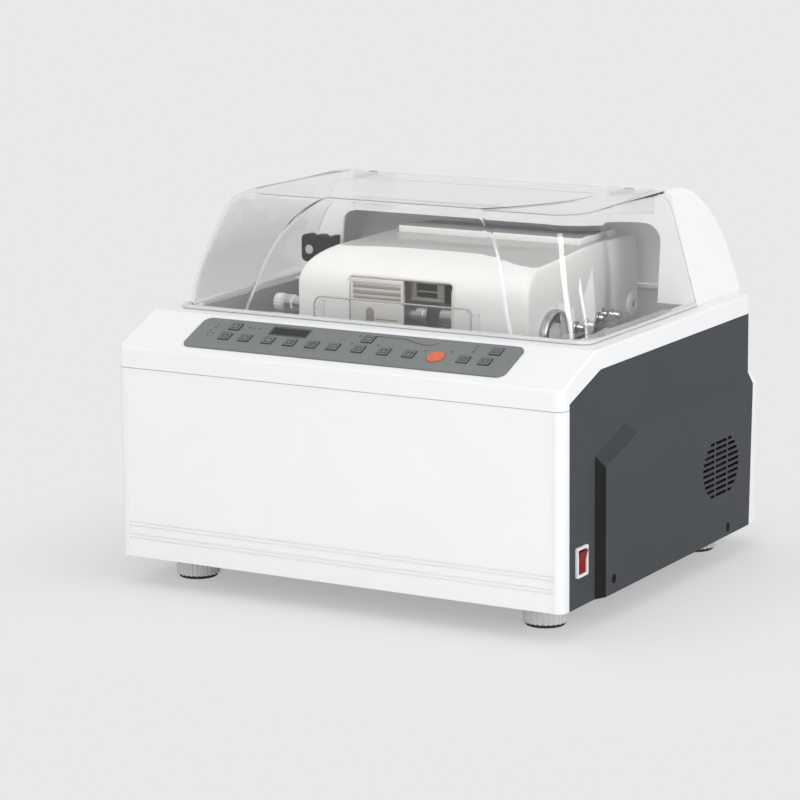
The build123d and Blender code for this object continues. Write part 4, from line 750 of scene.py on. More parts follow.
# ---------------------------------------------------------------- clear hood
@dataclass
class Hood(SubAssembly):
    """Clear hood: leaning walls that swell a little, one rounded rim, a roof and a raised middle band.

    Attributes:
        low_z: Height of the lower edge.
        high_z: Height of the roof beside the band.
        half_low: Half the width at the lower edge.
        half_high: Half the width at the roof.
        front_low: Front of the lower edge.
        front_high: Front of the roof.
        rear_low: Rear of the lower edge.
        rear_high: Rear of the roof.
        corner_low: Corner radius of the lower edge.
        corner_high: Corner radius at the roof.
        corner_loss: Share of the inset that the corner radius loses.
        flange_corner: Corner radius of the strip under the hood.
        rim_r: Radius of the rim between walls and roof.
        swell: How far the walls stand out from a straight line.
        front_swell: Share of the swell that the front keeps.
        band: Half the band's width at the deck, and what it loses by the roof in a line and in a curl.
        band_roof: Half the band's width where it is widest on the roof, and the Y of that place.
        band_end: Length and depth of the band's round corner on the roof.
        band_fade: Length over which the band sinks into the roof behind.
        settle: Share of its height that the band loses on the roof, and over what length.
        proud: Height of the band.
        step: Width of the band's sloping edge.
        step_gap: Margin at each side of the sloping edge that keeps the plain finish.
        thick: Thickness of the sheet.
        columns: Columns on each corner and in each part of the front.
        step_columns: Columns on the band's sloping edge.
        rows: Rows from the roof's front to its rear.
        wall_levels: Levels of the walls below the rim.
        rim_levels: Levels of the rim.
        seat: Gap between the deck and the strip under the hood.
        strip_rise: Height over which the strip follows the walls' lean.
        strip: Profile of the strip, as pairs of outward and upward places.
    """

    low_z: float = 281.4
    high_z: float = 398.0
    half_low: float = 241.0
    half_high: float = 202.0
    front_low: float = -151.0
    front_high: float = -97.0
    rear_low: float = 102.0
    rear_high: float = 111.0
    corner_low: float = 36.0
    corner_high: float = 30.0
    corner_loss: float = 0.3
    flange_corner: float = 14.0
    rim_r: float = 26.0
    swell: float = 15.0
    front_swell: float = 0.85
    band: tuple[float, float, float] = (155.0, 38.0, 26.0)
    band_roof: tuple[float, float] = (148.0, 38.0)
    band_end: tuple[float, float] = (30.0, 28.0)
    band_fade: float = 6.0
    settle: tuple[float, float] = (0.55, 25.0)
    proud: float = 1.1
    step: float = 5.0
    step_gap: float = 0.4
    thick: float = 2.6
    columns: int = 16
    step_columns: int = 6
    rows: int = 44
    wall_levels: int = 30
    rim_levels: int = 12
    seat: float = 0.6
    strip_rise: float = 7.0
    strip: tuple[tuple[float, float], ...] = (
        (0.7, 0.0), (0.9, 0.7), (0.9, 2.4), (0.5, 3.1), (-0.4, 3.4),
        (-3.6, 3.4), (-4.0, 3.0), (-4.0, 0.4), (-3.6, 0.0)
    )

    def share(self, z: np.ndarray) -> np.ndarray:
        """How far a height lies from the deck to the roof."""
        return (z - DECK_Z) / (self.high_z - DECK_Z)

    def band_half(self, z: np.ndarray) -> np.ndarray:
        """Half the band's width on the front: it shrinks with the share of the height and its fifth power.

        Args:
            z: Heights.

        Returns:
            Half the width at each.
        """
        foot, lean, curl = self.band
        share = np.clip(self.share(z), 0, 1)
        return foot - lean * share - curl * share**5

    def roof_half(self, y: np.ndarray) -> np.ndarray:
        """Half the band's width on the roof: a quarter sine out to its widest place, then a round corner.

        Args:
            y: Places from the roof's front to its rear.

        Returns:
            Half the width at each.
        """
        foot, lean, curl = self.band
        narrow = foot - lean - curl
        wide, wide_y = self.band_roof
        length, depth = self.band_end
        out = narrow + (wide - narrow) * np.sin(share_of(y, y[0], wide_y) * QUARTER)
        return out - depth * (1 - np.sqrt(1 - share_of(y, wide_y, wide_y + length) ** 2))

    def band_marks(self, edge: np.ndarray, band: np.ndarray) -> np.ndarray:
        """Places across the hood where its parts meet: the corners' ends and both edges of each slope."""
        half = [edge, band + self.step, band]
        return np.concatenate([-mark for mark in half] + half[::-1], 1)

    def outline(
        self, z: np.ndarray, inset_side: np.ndarray, inset_front: np.ndarray
    ) -> tuple[np.ndarray, np.ndarray]:
        """Open plan outline at each level, from the left rear round the front to the right rear.

        The walls stand out from a straight line by the swell times (1 - (1 - share)^4); a corner is a
        quarter circle about its centre, and the front keeps only its share of the swell.

        Args:
            z: Height of each level.
            inset_side: How far each level is drawn in at the sides.
            inset_front: How far each level is drawn in at the front.

        Returns:
            Points of shape (levels, columns, 2) and their outward plan normals.
        """
        share = self.share(z)[:, None]
        barrel = self.swell * (1 - (1 - np.clip(share, 0, 1)) ** 4)
        half = self.half_low + (self.half_high - self.half_low) * share - inset_side[:, None]
        front = self.front_low + (self.front_high - self.front_low) * share + inset_front[:, None]
        rear = self.rear_low + (self.rear_high - self.rear_low) * share
        radius = self.corner_low + (self.corner_high - self.corner_low) * share
        radius = radius - self.corner_loss * (inset_side + inset_front)[:, None]

        along = np.linspace(0, 1, self.rows + 1)[None, :]
        side = np.stack([-half - barrel * (1 - (1 - along) ** 2), rear + (front + radius - rear) * along], -1)
        side_n = np.broadcast_to(np.array([-1.0, 0.0]), side.shape)

        turn = np.linspace(0, QUARTER, self.columns + 1)[None, 1:]
        arc_n = np.stack(np.broadcast_arrays(-np.cos(turn), -np.sin(turn) + 0 * half), -1)
        centre = np.stack([-half + radius, front + radius], -1)
        reach = radius + barrel * (1 - (1 - self.front_swell) * np.sin(turn) ** 2)
        arc = centre + reach[..., None] * arc_n

        marks = self.band_marks(half - radius, self.band_half(z)[:, None])
        parts = np.array([self.columns, self.step_columns, 4 * self.columns, self.step_columns, self.columns])
        mark_at = np.concatenate([[0.0], np.cumsum(parts)])
        x = np.stack([np.interp(np.arange(1, mark_at[-1]), mark_at, row) for row in marks])
        line = np.stack([x, np.broadcast_to(front - self.front_swell * barrel, x.shape)], -1)
        line_n = np.broadcast_to(np.array([0.0, -1.0]), line.shape)

        mirror = np.array([-1.0, 1.0])
        whole = []
        for near_side, corner, middle in ((side, arc, line), (side_n, arc_n, line_n)):
            far = [part[:, ::-1] * mirror for part in (corner, near_side)]
            whole.append(np.concatenate([near_side, corner, middle, *far], 1))
        return whole[0], whole[1]

    def rise(self, x: np.ndarray, half: np.ndarray) -> np.ndarray:
        """Height of the band: full inside its half width, then a smooth step down over its edge."""
        return self.proud * (1 - smooth(share_of(np.abs(x), half, half + self.step)))

    def rim_curve(self, lean: float) -> tuple[np.ndarray, np.ndarray, np.ndarray]:
        """Tangent arc that turns a leaning wall into the roof.

        Args:
            lean: Angle of the wall from upright, radians.

        Returns:
            How far each point lies inward and upward of where wall and roof would meet, and its angle.
        """
        reach = self.rim_r * (1 - math.sin(lean)) / math.cos(lean)
        angle = lean + np.linspace(0, 1, self.rim_levels + 1) * (QUARTER - lean)
        inward = -reach * math.sin(lean) + self.rim_r * (math.cos(lean) - np.cos(angle))
        upward = -reach * math.cos(lean) + self.rim_r * (np.sin(angle) - math.sin(lean))
        return inward, upward, angle

    def walls(self) -> np.ndarray:
        """Walls and rim: straight levels and then the rim's arc, for the sides and the front apart.

        Returns:
            Points of shape (levels, columns, 3).
        """
        tall = self.high_z - DECK_Z
        runs = (self.half_low - self.half_high, self.front_high - self.front_low)
        leans = [math.atan2(run, tall) for run in runs]
        heights, drawn = [], []
        for lean in leans:
            inward, upward, angle = self.rim_curve(lean)  # the front comes last, so its angle stays
            straight = np.linspace(self.low_z, self.high_z + upward[0], self.wall_levels)
            heights.append(np.concatenate([straight, self.high_z + upward[1:]]))
            drawn.append(np.concatenate([0 * straight, inward[1:] - upward[1:] * math.tan(lean)]))
        z_side, z_front = heights
        points, normals = self.outline((z_side + z_front) / 2, *drawn)
        weight = normals[..., 1] ** 2
        z = z_side[:, None] * (1 - weight) + z_front[:, None] * weight
        lift = np.concatenate([np.full(self.wall_levels - 1, angle[0]), angle])[:, None]
        rise = self.rise(points[..., 0], self.band_half(z)) * (normals[..., 1] < -0.999)
        y = points[..., 1] - rise * np.cos(lift)
        return np.stack([points[..., 0], y, z + rise * np.sin(lift)], -1)

    def roof(self, rim: np.ndarray) -> np.ndarray:
        """Roof: each column runs from the rim to the rear, and the columns beside the band follow its edge.

        Args:
            rim: Top level of the walls.

        Returns:
            Points of shape (rows, columns, 3).
        """
        front = rim[self.rows : len(rim) - self.rows]
        last = len(front) - 1
        along = np.linspace(0, 1, self.rows + 1)[:, None]
        y = front[:, 1] + (self.rear_high - front[:, 1]) * along
        band = self.roof_half(y[:, len(front) // 2])[:, None]
        marks = np.cumsum([self.columns, self.columns, self.step_columns])
        marks = np.concatenate([marks, last - marks[::-1]])
        goal = self.band_marks(abs(front[self.columns, 0]) + 0 * band, band)
        middle = slice(self.columns, last - self.columns + 1)
        x = np.repeat(front[None, :, 0], self.rows + 1, 0)
        x[1:, middle] = np.stack([np.interp(np.arange(last + 1)[middle], marks, row) for row in goal])[1:]
        end = self.band_roof[1] + self.band_end[0]
        fade = smooth(share_of(y, end - self.band_fade, end))
        loss, length = self.settle
        rise = self.rise(x, band) * (1 - fade) * (1 - loss * share_of(y, y[0], y[0] + length))
        z = self.high_z + rise
        z[0] = front[:, 2]
        return np.stack([x, y, z], -1)[1:]

    def on_step(self, middles: np.ndarray) -> np.ndarray:
        """Finds the faces on the sloping edge of the band's front.

        Args:
            middles: Middle of each face.

        Returns:
            Whether each lies there.
        """
        off = np.abs(middles[:, 0]) - self.band_half(middles[:, 2])
        low_enough = (middles[:, 2] < self.high_z - self.rim_r) & (middles[:, 1] < self.front_high)
        return (off > self.step_gap) & (off < self.step - self.step_gap) & low_enough

    def shell(self) -> Piece:
        """The sheet itself, given its thickness inward.

        Returns:
            The hood in three finishes: the band's edge with a painted highlight, the clear outside, and the
                inside with a painted reflection of the dark chamber.
        """
        wall = self.walls()
        roof = self.roof(wall[-1])
        levels, around, _ = wall.shape
        rows, across, _ = roof.shape
        base = levels * around
        last = (levels - 1) * around + self.rows + np.arange(across)
        next_row = base + np.arange(across)
        seam = np.stack([last[:-1], last[1:], next_row[1:], next_row[:-1]], -1)
        faces = np.concatenate([grid_faces(levels, around), base + grid_faces(rows, across), seam])
        points = np.concatenate([wall.reshape(-1, 3), roof.reshape(-1, 3)])
        hood = to_object("hood_shell", points, faces.tolist(), "hood", sharp_deg=60)
        self.wardrobe.wear(hood, "hood_edge", "hood_clear", "hood_inside")
        middles = np.empty(len(hood.data.polygons) * 3)
        hood.data.polygons.foreach_get("center", middles)
        # the band's sloping edge takes the finish with the painted highlight
        finish = np.where(self.on_step(middles.reshape(-1, 3) / MM), 0, 1)
        hood.data.polygons.foreach_set("material_index", finish.astype(np.int32))
        skin = thicken(hood, self.thick)
        # the inner side takes the next finish: mostly the one with the painted reflection
        skin.material_offset = 1
        skin.use_even_offset = True
        return hood

    def rim(self) -> Piece:
        """White strip along the lower edge: a rounded profile carried along the plan outline.

        Returns:
            The strip.
        """
        outward, upward = np.array(self.strip).T
        foot = DECK_Z + self.seat
        flat = np.zeros(2)
        sharper = replace(self, corner_low=self.flange_corner)
        points, normals = sharper.outline(np.array([foot, foot + self.strip_rise]), flat, flat)
        share = (upward / self.strip_rise)[:, None, None]
        away = outward[:, None, None] * normals[0][None]
        plan = points[0][None] * (1 - share) + points[1][None] * share + away
        height = np.broadcast_to(foot + upward[:, None], plan.shape[:2])
        rings = np.stack([plan[..., 0], plan[..., 1], height], -1).transpose(1, 0, 2)
        return self.wardrobe.piece("hood_rim", [loft(rings)], "hood", "seal_clear", 50)

    def build(self) -> list[Piece]:
        """Makes the hood's sheet and its lower strip in place of the plain ones.

        Returns:
            The sheet and the strip.
        """
        shell, rim = self.shell(), self.rim()
        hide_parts("clear_cover")
        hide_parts("cover_seal")
        return [shell, rim]


# ---------------------------------------------------------------- grinding head
@dataclass
class HeadShell(SubAssembly):
    """Cream cover of the grinding head: upright walls that roll into a brow, a crease and a flat roof.

    Attributes:
        wall_zs: Heights of the rings on the walls; the last is where they start to roll inward.
        bend_z: Height of the roll's control point.
        roof_z: Height of the roof.
        front_y: Front wall.
        rear_y: Rear wall.
        half_x: Half the width.
        corner: Corner radius of the walls.
        crease_x: Left and right edge of the crease.
        crease_corner: Corner radius of the crease.
        crease_sink: How far the crease lies below the roof.
        crease_inset: How far the crease lies inside the rear wall.
        crease_front: Y of the crease's front.
        dips: For each end of the front, how far it dips forward and from and to which X.
        sag: How far the crease sinks at its right front corner.
        sag_x: X from and to which it sinks.
        sag_y: Y from and to which it sinks.
        front_parts: Points on the front left of the mouth, over it and right of it.
        side_points: Points on each of the other sides.
        corner_points: Points on each corner with the ends of the sides beside it.
        mouth_x: Left and right edge of the mouth.
        mouth_top: Upper edge of the mouth's lining.
        mouth_corner: Radius of its upper corners.
        mouth_levels: Rings below the mouth's upper edge.
        lining_depths: How deep in the mouth each row of the lining lies.
        lining_flare: How far each of those rows is spread.
        lining_thick: Thickness of the lining.
        turns: Shares of the roll at which a ring lies.
        roof_rings: Share of the way to the roof's middle and height above the crease, of each ring there.
        roof_middle: Middle of the roof.
        level_from: Share of the way from which the roof is level.
        thick: Thickness of the cover.
        ridge_half: Half the width and half the depth of the ridge.
        ridge_middle: Its middle in plan.
        ridge_tall: Its height.
        ridge_sink: How far it is sunk into the roof.
        pivot: Y and Z of the pivot's bosses.
        boss: Profile of a boss, as pairs of radius and outward place.
        bore: Profile of the dark bottom of its hole.
    """

    wall_zs: tuple[float, ...] = (250.0, 262.0, 274.0, 286.0, 294.0, 302.0)
    bend_z: float = 329.0
    roof_z: float = 341.0
    front_y: float = -80.0
    rear_y: float = 176.0
    half_x: float = HEAD_HALF_X
    corner: float = 5.0
    crease_x: tuple[float, float] = (-112.0, 134.5)
    crease_corner: float = 8.0
    crease_sink: float = 1.0
    crease_inset: float = 3.0
    crease_front: float = -30.0
    dips: tuple[tuple[float, float, float], ...] = ((22.0, 30.0, 110.0), (14.0, -20.0, -92.0))
    sag: float = 7.0
    sag_x: tuple[float, float] = (60.0, 130.0)
    sag_y: tuple[float, float] = (60.0, -50.0)
    front_parts: tuple[int, int, int] = (12, 30, 16)
    side_points: int = 26
    corner_points: int = 10
    mouth_x: tuple[float, float] = (-73.0, 49.0)
    mouth_top: float = 315.2
    mouth_corner: float = 5.0
    mouth_levels: int = 8
    lining_depths: tuple[float, ...] = (1.0, 3.0, 8.0, 20.0, 40.0, 56.0)
    lining_flare: tuple[float, ...] = (1.2, 0.3, 0.0, 0.0, 0.0, 0.0)
    lining_thick: float = 1.2
    turns: tuple[float, ...] = (0.09, 0.18, 0.27, 0.36, 0.46, 0.56, 0.66, 0.76, 0.86, 0.94, 1.0)
    roof_rings: tuple[tuple[float, float], ...] = (
        (0.02, 0.9), (0.03, 0.9), (0.1, 1.0), (0.3, 1.0), (0.6, 1.0)
    )
    roof_middle: tuple[float, float] = (10.0, 60.0)
    level_from: float = 0.3
    thick: float = 2.4
    ridge_half: tuple[float, float] = (110.5, 42.0)
    ridge_middle: tuple[float, float] = (12.5, 108.0)
    ridge_tall: float = 8.0
    ridge_sink: float = 0.4
    pivot: tuple[float, float] = (158.0, 266.0)
    boss: tuple[tuple[float, float], ...] = (
        (13.0, 0), (13.0, 1.2), (12.2, 2.2), (9.0, 3.2), (6.2, 3.6),
        (5.2, 3.4), (4.9, 2.6), (4.9, 0.6), (0.6, 0.4)
    )
    bore: tuple[tuple[float, float], ...] = ((4.8, 0.9), (4.8, 1.0), (4.4, 1.2), (0.4, 1.25))

    def front_columns(self) -> np.ndarray:
        """Columns across the front wall, with one on each edge of the mouth.

        Returns:
            Their places along X.
        """
        edge = self.half_x - self.corner
        marks = (-edge, *self.mouth_x, edge)
        parts = [np.linspace(*span) for span in zip(marks, marks[1:], self.front_parts)]
        return np.concatenate([parts[0], parts[1][1:], parts[2][1:]])

    def ring(
        self, across: tuple[float, float], front: np.ndarray, rear: float, radius: float, columns: np.ndarray
    ) -> np.ndarray:
        """Plan outline from the front's left end, anticlockwise, with a quarter circle at each corner.

        Args:
            across: Left and right side.
            front: Y of the front line at each column.
            rear: Y of the rear line.
            radius: Radius of the corners.
            columns: X of each column of the front line.

        Returns:
            Points of shape (around, 2).
        """
        left, right = across
        share = np.linspace(0, 1, self.side_points)[:, None]
        turn = np.linspace(0, QUARTER, self.corner_points)[1:-1]
        near_left, near_right, far = front[0] + radius, front[-1] + radius, rear - radius
        in_right, in_left = right - radius, left + radius
        corners = [(in_right, near_right), (in_right, far), (in_left, far), (in_left, near_left)]
        lines = [
            ((right, near_right), (right, far)),
            ((in_right, rear), (in_left, rear)),
            ((left, far), (left, near_left)),
        ]
        parts = [np.stack([columns, front], -1)]
        for number, centre in enumerate(corners):
            angle = (number - 1) * QUARTER + turn
            parts.append(np.array(centre) + radius * np.stack([np.cos(angle), np.sin(angle)], -1))
            if number < len(lines):
                start, end = np.array(lines[number])
                parts.append(start * (1 - share) + end * share)
        return np.concatenate(parts)

    def crease(self, columns: np.ndarray) -> tuple[np.ndarray, np.ndarray]:
        """Line where the roll meets the roof: it dips forward at both ends and sinks at its right front.

        Args:
            columns: X of each column of the front wall.

        Returns:
            Plan points of shape (around, 2) and their heights.
        """
        left, right = self.crease_x
        soft = self.crease_corner
        inner = np.interp(columns, [columns[0], columns[-1]], [left + soft, right - soft])
        dip = sum(depth * share_of(inner, start, end) ** 2 for depth, start, end in self.dips)
        rear = self.rear_y - self.crease_inset
        plan = self.ring(self.crease_x, self.crease_front - dip, rear, soft, inner)
        low = share_of(plan[:, 0], *self.sag_x) * share_of(plan[:, 1], *self.sag_y)
        return plan, self.roof_z - self.crease_sink - self.sag * low

    def rings(self) -> np.ndarray:
        """Rings up the walls, along the roll (a quadratic curve for each column) and onto the roof.

        Returns:
            Points of shape (rings, around, 3).
        """
        columns = self.front_columns()
        front = np.full(len(columns), self.front_y)
        base = self.ring((-self.half_x, self.half_x), front, self.rear_y, self.corner, columns)
        crease, crease_z = self.crease(columns)
        wall_z = np.array(self.wall_zs)[:, None] + 0 * crease_z
        wall = np.dstack([np.repeat(base[None], len(wall_z), 0), wall_z])
        turn = np.array(self.turns)[:, None]
        roll_z = (1 - turn) ** 2 * self.wall_zs[-1] + 2 * turn * (1 - turn) * self.bend_z + turn**2 * crease_z
        roll = np.dstack([base + (turn**2)[..., None] * (crease - base), roll_z])
        roof = []
        sunk = self.roof_z - self.crease_sink - crease_z
        for share, lift in self.roof_rings:
            flat = crease + share * (np.array(self.roof_middle) - crease)
            level = crease_z + lift + sunk * min(1.0, share / self.level_from)
            roof.append(np.column_stack([flat, level]))
        return np.concatenate([wall, roll, np.stack(roof)])

    def shell(self) -> Piece:
        """Cover with the mouth left open in its front and its roof painted a darker grey, a painted shade.

        Returns:
            The cover.
        """
        rings = self.rings()
        count, around, _ = rings.shape
        points = rings.reshape(-1, 3)
        quads = grid_faces(count, around, closed=True)
        level, column = np.divmod(quads[:, 0], around)
        middle_x = points[quads][..., 0].mean(1)
        low, high = self.mouth_x
        opening = (column < len(self.front_columns()) - 1) & (low < middle_x) & (middle_x < high)
        quads = quads[~(opening & (level < self.mouth_levels))]
        cap = list(range((count - 1) * around, count * around))
        cover = to_object("head_shell", points, quads.tolist() + [cap], "head", sharp_deg=40)
        self.wardrobe.wear(cover, "head_cream", "roof_painted_shade")
        # faces wholly on the roof take the darker grey, a painted shade
        roof_first = (len(self.wall_zs) + len(self.turns)) * around
        on_roof = np.append(quads.min(1) >= roof_first, True)
        cover.data.polygons.foreach_set("material_index", on_roof.astype(np.int32))
        thicken(cover, self.thick)
        return cover

    def lining(self) -> Piece:
        """Mouth lining: a path up one side, over the top and down the other, carried back, with a rear wall.

        Returns:
            The lining.
        """
        low, high = self.mouth_x
        foot = self.wall_zs[0]
        corners = arch_corners(low, high, self.mouth_top, self.mouth_corner, 7)
        path = np.concatenate([[[low, foot]], *corners, [[high, foot]]])
        middle = np.array([(low + high) / 2, (foot + self.mouth_top) / 2])
        rows = []
        for depth, out in zip(self.lining_depths, self.lining_flare):
            across, up = (path + out * np.sign(path - middle)).T
            rows.append(np.column_stack([across, np.full(len(path), self.front_y + depth), up]))
        count, around = len(rows), len(path)
        faces = grid_faces(count, around)[:, [0, 3, 2, 1]].tolist()
        faces.append(list(range((count - 1) * around, count * around)))
        lining = to_object("mouth_lining", np.concatenate(rows), faces, "head", sharp_deg=50)
        thicken(lining, self.lining_thick, inward=False)
        return self.wardrobe.wear(lining, "mouth_beige")

    def ridge(self) -> Piece:
        """Flat raised ridge across the rear of the roof: bright rims and a dark grey top, a painted shadow.

        Returns:
            The ridge.
        """
        rings = slab(*self.ridge_half, 3.0, 0.0, self.ridge_tall, 0.8, 4)
        vertices, faces = loft(rings + np.array([*self.ridge_middle, self.roof_z - self.ridge_sink]))
        ridge = to_object("head_ridge", vertices, faces, "head", 30)
        self.wardrobe.wear(ridge, "head_cream", "ridge_painted_shadow")
        # the top faces take the dark grey, a painted shadow
        nearly_top = self.roof_z + self.ridge_tall - self.ridge_sink - 0.2
        on_top = [int(vertices[face][:, 2].min() > nearly_top) for face in faces]
        ridge.data.polygons.foreach_set("material_index", on_top)
        return ridge

    def on_sides(self, profile: tuple[tuple[float, float], ...], around: int) -> list[Skin]:
        """Turned form at the pivot, once on each side of the head.

        Args:
            profile: Pairs of radius and outward place.
            around: Points in each circle.

        Returns:
            Both forms.
        """
        flat = turned(np.array(profile), around)
        sides = ((Side.RIGHT, self.half_x), (Side.LEFT, -self.half_x))
        return [loft(place(flat, side, (x, *self.pivot))) for side, x in sides]

    def build(self) -> list[Piece]:
        """Makes the head's cover in place of the plain one, and the pivot's bosses with their holes.

        Returns:
            The cover, the mouth's lining, the ridge, the bosses and the bottoms of their holes.
        """
        shell, lining, ridge = self.shell(), self.lining(), self.ridge()
        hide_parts("head_cover")
        bosses = self.wardrobe.piece("pivot_bosses", self.on_sides(self.boss, 40), "head", "head_cream", 40)
        bores = self.wardrobe.piece("pivot_bores", self.on_sides(self.bore, 24), "head", "black_plastic")
        return [shell, lining, ridge, bosses, bores]


@dataclass
class LensMouth(SubAssembly):
    """What shows in the head's mouth: the arm panel with its grooves, the slotted plate and the guide bar.

    Attributes:
        face_y: Front face of the arm panel.
        low_x: Left edge of the arm panel.
        high_x: Right edge of the arm panel.
        thick: Thickness of the arm panel.
        bars: Height and radius of each bar in the grooved field.
        arch: Middle across, middle height and radius of the small arch.
        arch_foot: Height of the arch's foot.
        arch_heart: Height that the arch's face is drawn in towards.
        plate: Rim radius, lowest corner and highest corner of each block of the slotted plate.
        dark: The same for the slot's back and the guide bar's two parts.
    """

    face_y: float = -79.4
    low_x: float = -72.4
    high_x: float = -9.0
    thick: float = 5.2
    bars: tuple[tuple[float, float], ...] = ((294.0, 1.3), (299.6, 1.9), (305.6, 1.5))
    arch: tuple[float, float, float] = (-48.0, 279.5, 5.0)
    arch_foot: float = 271.0
    arch_heart: float = 277.0
    plate: tuple[tuple[float, Point, Point], ...] = (
        (0.8, (-8.6, -62.0, 310.6), (48.4, -58.0, 314.8)),
        (0.8, (-8.6, -62.0, 293.4), (-3.0, -58.0, 314.8)),
        (0.8, (22.0, -62.0, 293.4), (48.4, -58.0, 314.8)),
        (0.8, (-8.6, -64.0, 292.6), (48.4, -58.0, 296.4)),
        (0.4, (-4.0, -60.0, 301.4), (23.0, -57.4, 303.0)),
    )
    dark: tuple[tuple[float, Point, Point], ...] = (
        (0.4, (-3.6, -58.2, 296.0), (22.6, -56.6, 311.0)),
        (1.2, (35.0, -70.5, 292.8), (43.6, -65.0, 314.6)),
        (0.4, (36.6, -72.0, 296.0), (38.2, -70.0, 313.0)),
    )

    def panel_blocks(self) -> list[Skin]:
        """Arm panel: a frame around a shallow grooved field, with a plain plate below.

        Returns:
            Its blocks.
        """
        front, back = self.face_y, self.face_y + self.thick
        low, high = self.low_x, self.high_x
        return [
            block((low, front, 309.5), (high, back, 314.6), 1.2),
            block((low, front, 252.0), (high, back, 291.0), 1.6),
            block((low, front + 3.4, 289.0), (high, back, 311.0), 0.4),
            block((low, front, 289.0), (low + 3.0, back, 312.0), 1.2),
            block((high - 3.0, front, 289.0), (high, back, 312.0), 1.2),
        ]

    def groove_bars(self) -> list[Skin]:
        """Long bars in the grooved field: thin rounded rods one above the other.

        Returns:
            The rods.
        """
        x = np.linspace(self.low_x + 3.4, self.high_x - 3.4, 20)
        y = np.full(20, self.face_y + 2.9)
        return [loft(tube(np.column_stack([x, y, np.full(20, z)]), radius, 12)) for z, radius in self.bars]

    def arch_parts(self) -> list[Skin]:
        """Small dark arch, its face drawn in by a tenth, with a slot that runs to its right.

        Returns:
            The arch and the slot.
        """
        across, middle, radius = self.arch
        turn = np.linspace(0, math.pi, 14)
        top = np.stack([across + radius * np.cos(turn), middle + radius * np.sin(turn)], -1)
        foot = self.arch_foot
        outline = np.concatenate([top, [[across - radius, foot], [across + radius, foot]]])
        centre = np.array([across, self.arch_heart])
        rings = []
        for behind, scale in ((0.4, 1.0), (-0.05, 1.0), (-0.15, 0.9)):
            flat = centre + (outline - centre) * scale
            rings.append(np.column_stack([flat[:, 0], np.full(len(flat), self.face_y + behind), flat[:, 1]]))
        slot = block((-42.0, self.face_y - 0.2, 272.0), (-15.0, self.face_y + 0.6, 273.4), 0.3)
        return [loft(np.stack(rings)), slot]

    def build(self) -> list[Piece]:
        """Makes the pieces in the mouth.

        Returns:
            The panel, its grooves, the arch, the slotted plate and what is dark behind it.
        """
        plate = [block(low, high, edge) for edge, low, high in self.plate]
        dark = [block(low, high, edge) for edge, low, high in self.dark]
        return [
            self.wardrobe.piece("arm_panel", self.panel_blocks(), "head", "mouth_beige", 30),
            self.wardrobe.piece("arm_grooves", self.groove_bars(), "head", "arm_shade", 40),
            self.wardrobe.piece("arm_arch", self.arch_parts(), "head", "arm_shade", 40),
            self.wardrobe.piece("slot_plate", plate, "head", "arm_shade", 30),
            self.wardrobe.piece("slot_dark", dark, "head", "black_plastic", 30),
        ]


@dataclass
class SplashGuard(SubAssembly):
    """Bright rolled rim of the clear guard in front of the mouth; the plate is the frame's own.

    Attributes:
        left: Left edge of the rim.
        right: Right edge of the rim.
        y: How far forward it lies.
        foot: Height of its two ends.
        bend: Height at which its legs pass through one more point.
        top: Upper edge of the rim.
        crown: Places of two more points along the top.
        corner: Radius of its upper corners.
        rim_r: Radius of the rolled rim.
    """

    left: float = -105.0
    right: float = 82.0
    y: float = -97.8
    foot: float = 266.0
    bend: float = 275.0
    top: float = 295.0
    crown: tuple[float, float] = (-40.0, 20.0)
    corner: float = 9.0
    rim_r: float = 0.9

    def build(self) -> list[Piece]:
        """Makes the rim: a round bar up the left edge, over the top and down the right edge.

        Returns:
            The rim.
        """
        rising, falling = arch_corners(self.left, self.right, self.top, self.corner, 8)
        start = [[self.left, self.foot], [self.left, self.bend]]
        crown = [[x, self.top] for x in self.crown]
        end = [[self.right, self.bend], [self.right, self.foot]]
        flat = np.concatenate([start, rising, crown, falling, end])
        path = np.column_stack([flat[:, 0], np.full(len(flat), self.y), flat[:, 1]])
        bar = loft(tube(path, self.rim_r, 10))
        return [self.wardrobe.piece("guard_rim", [bar], "head", "guard_edge", 60)]


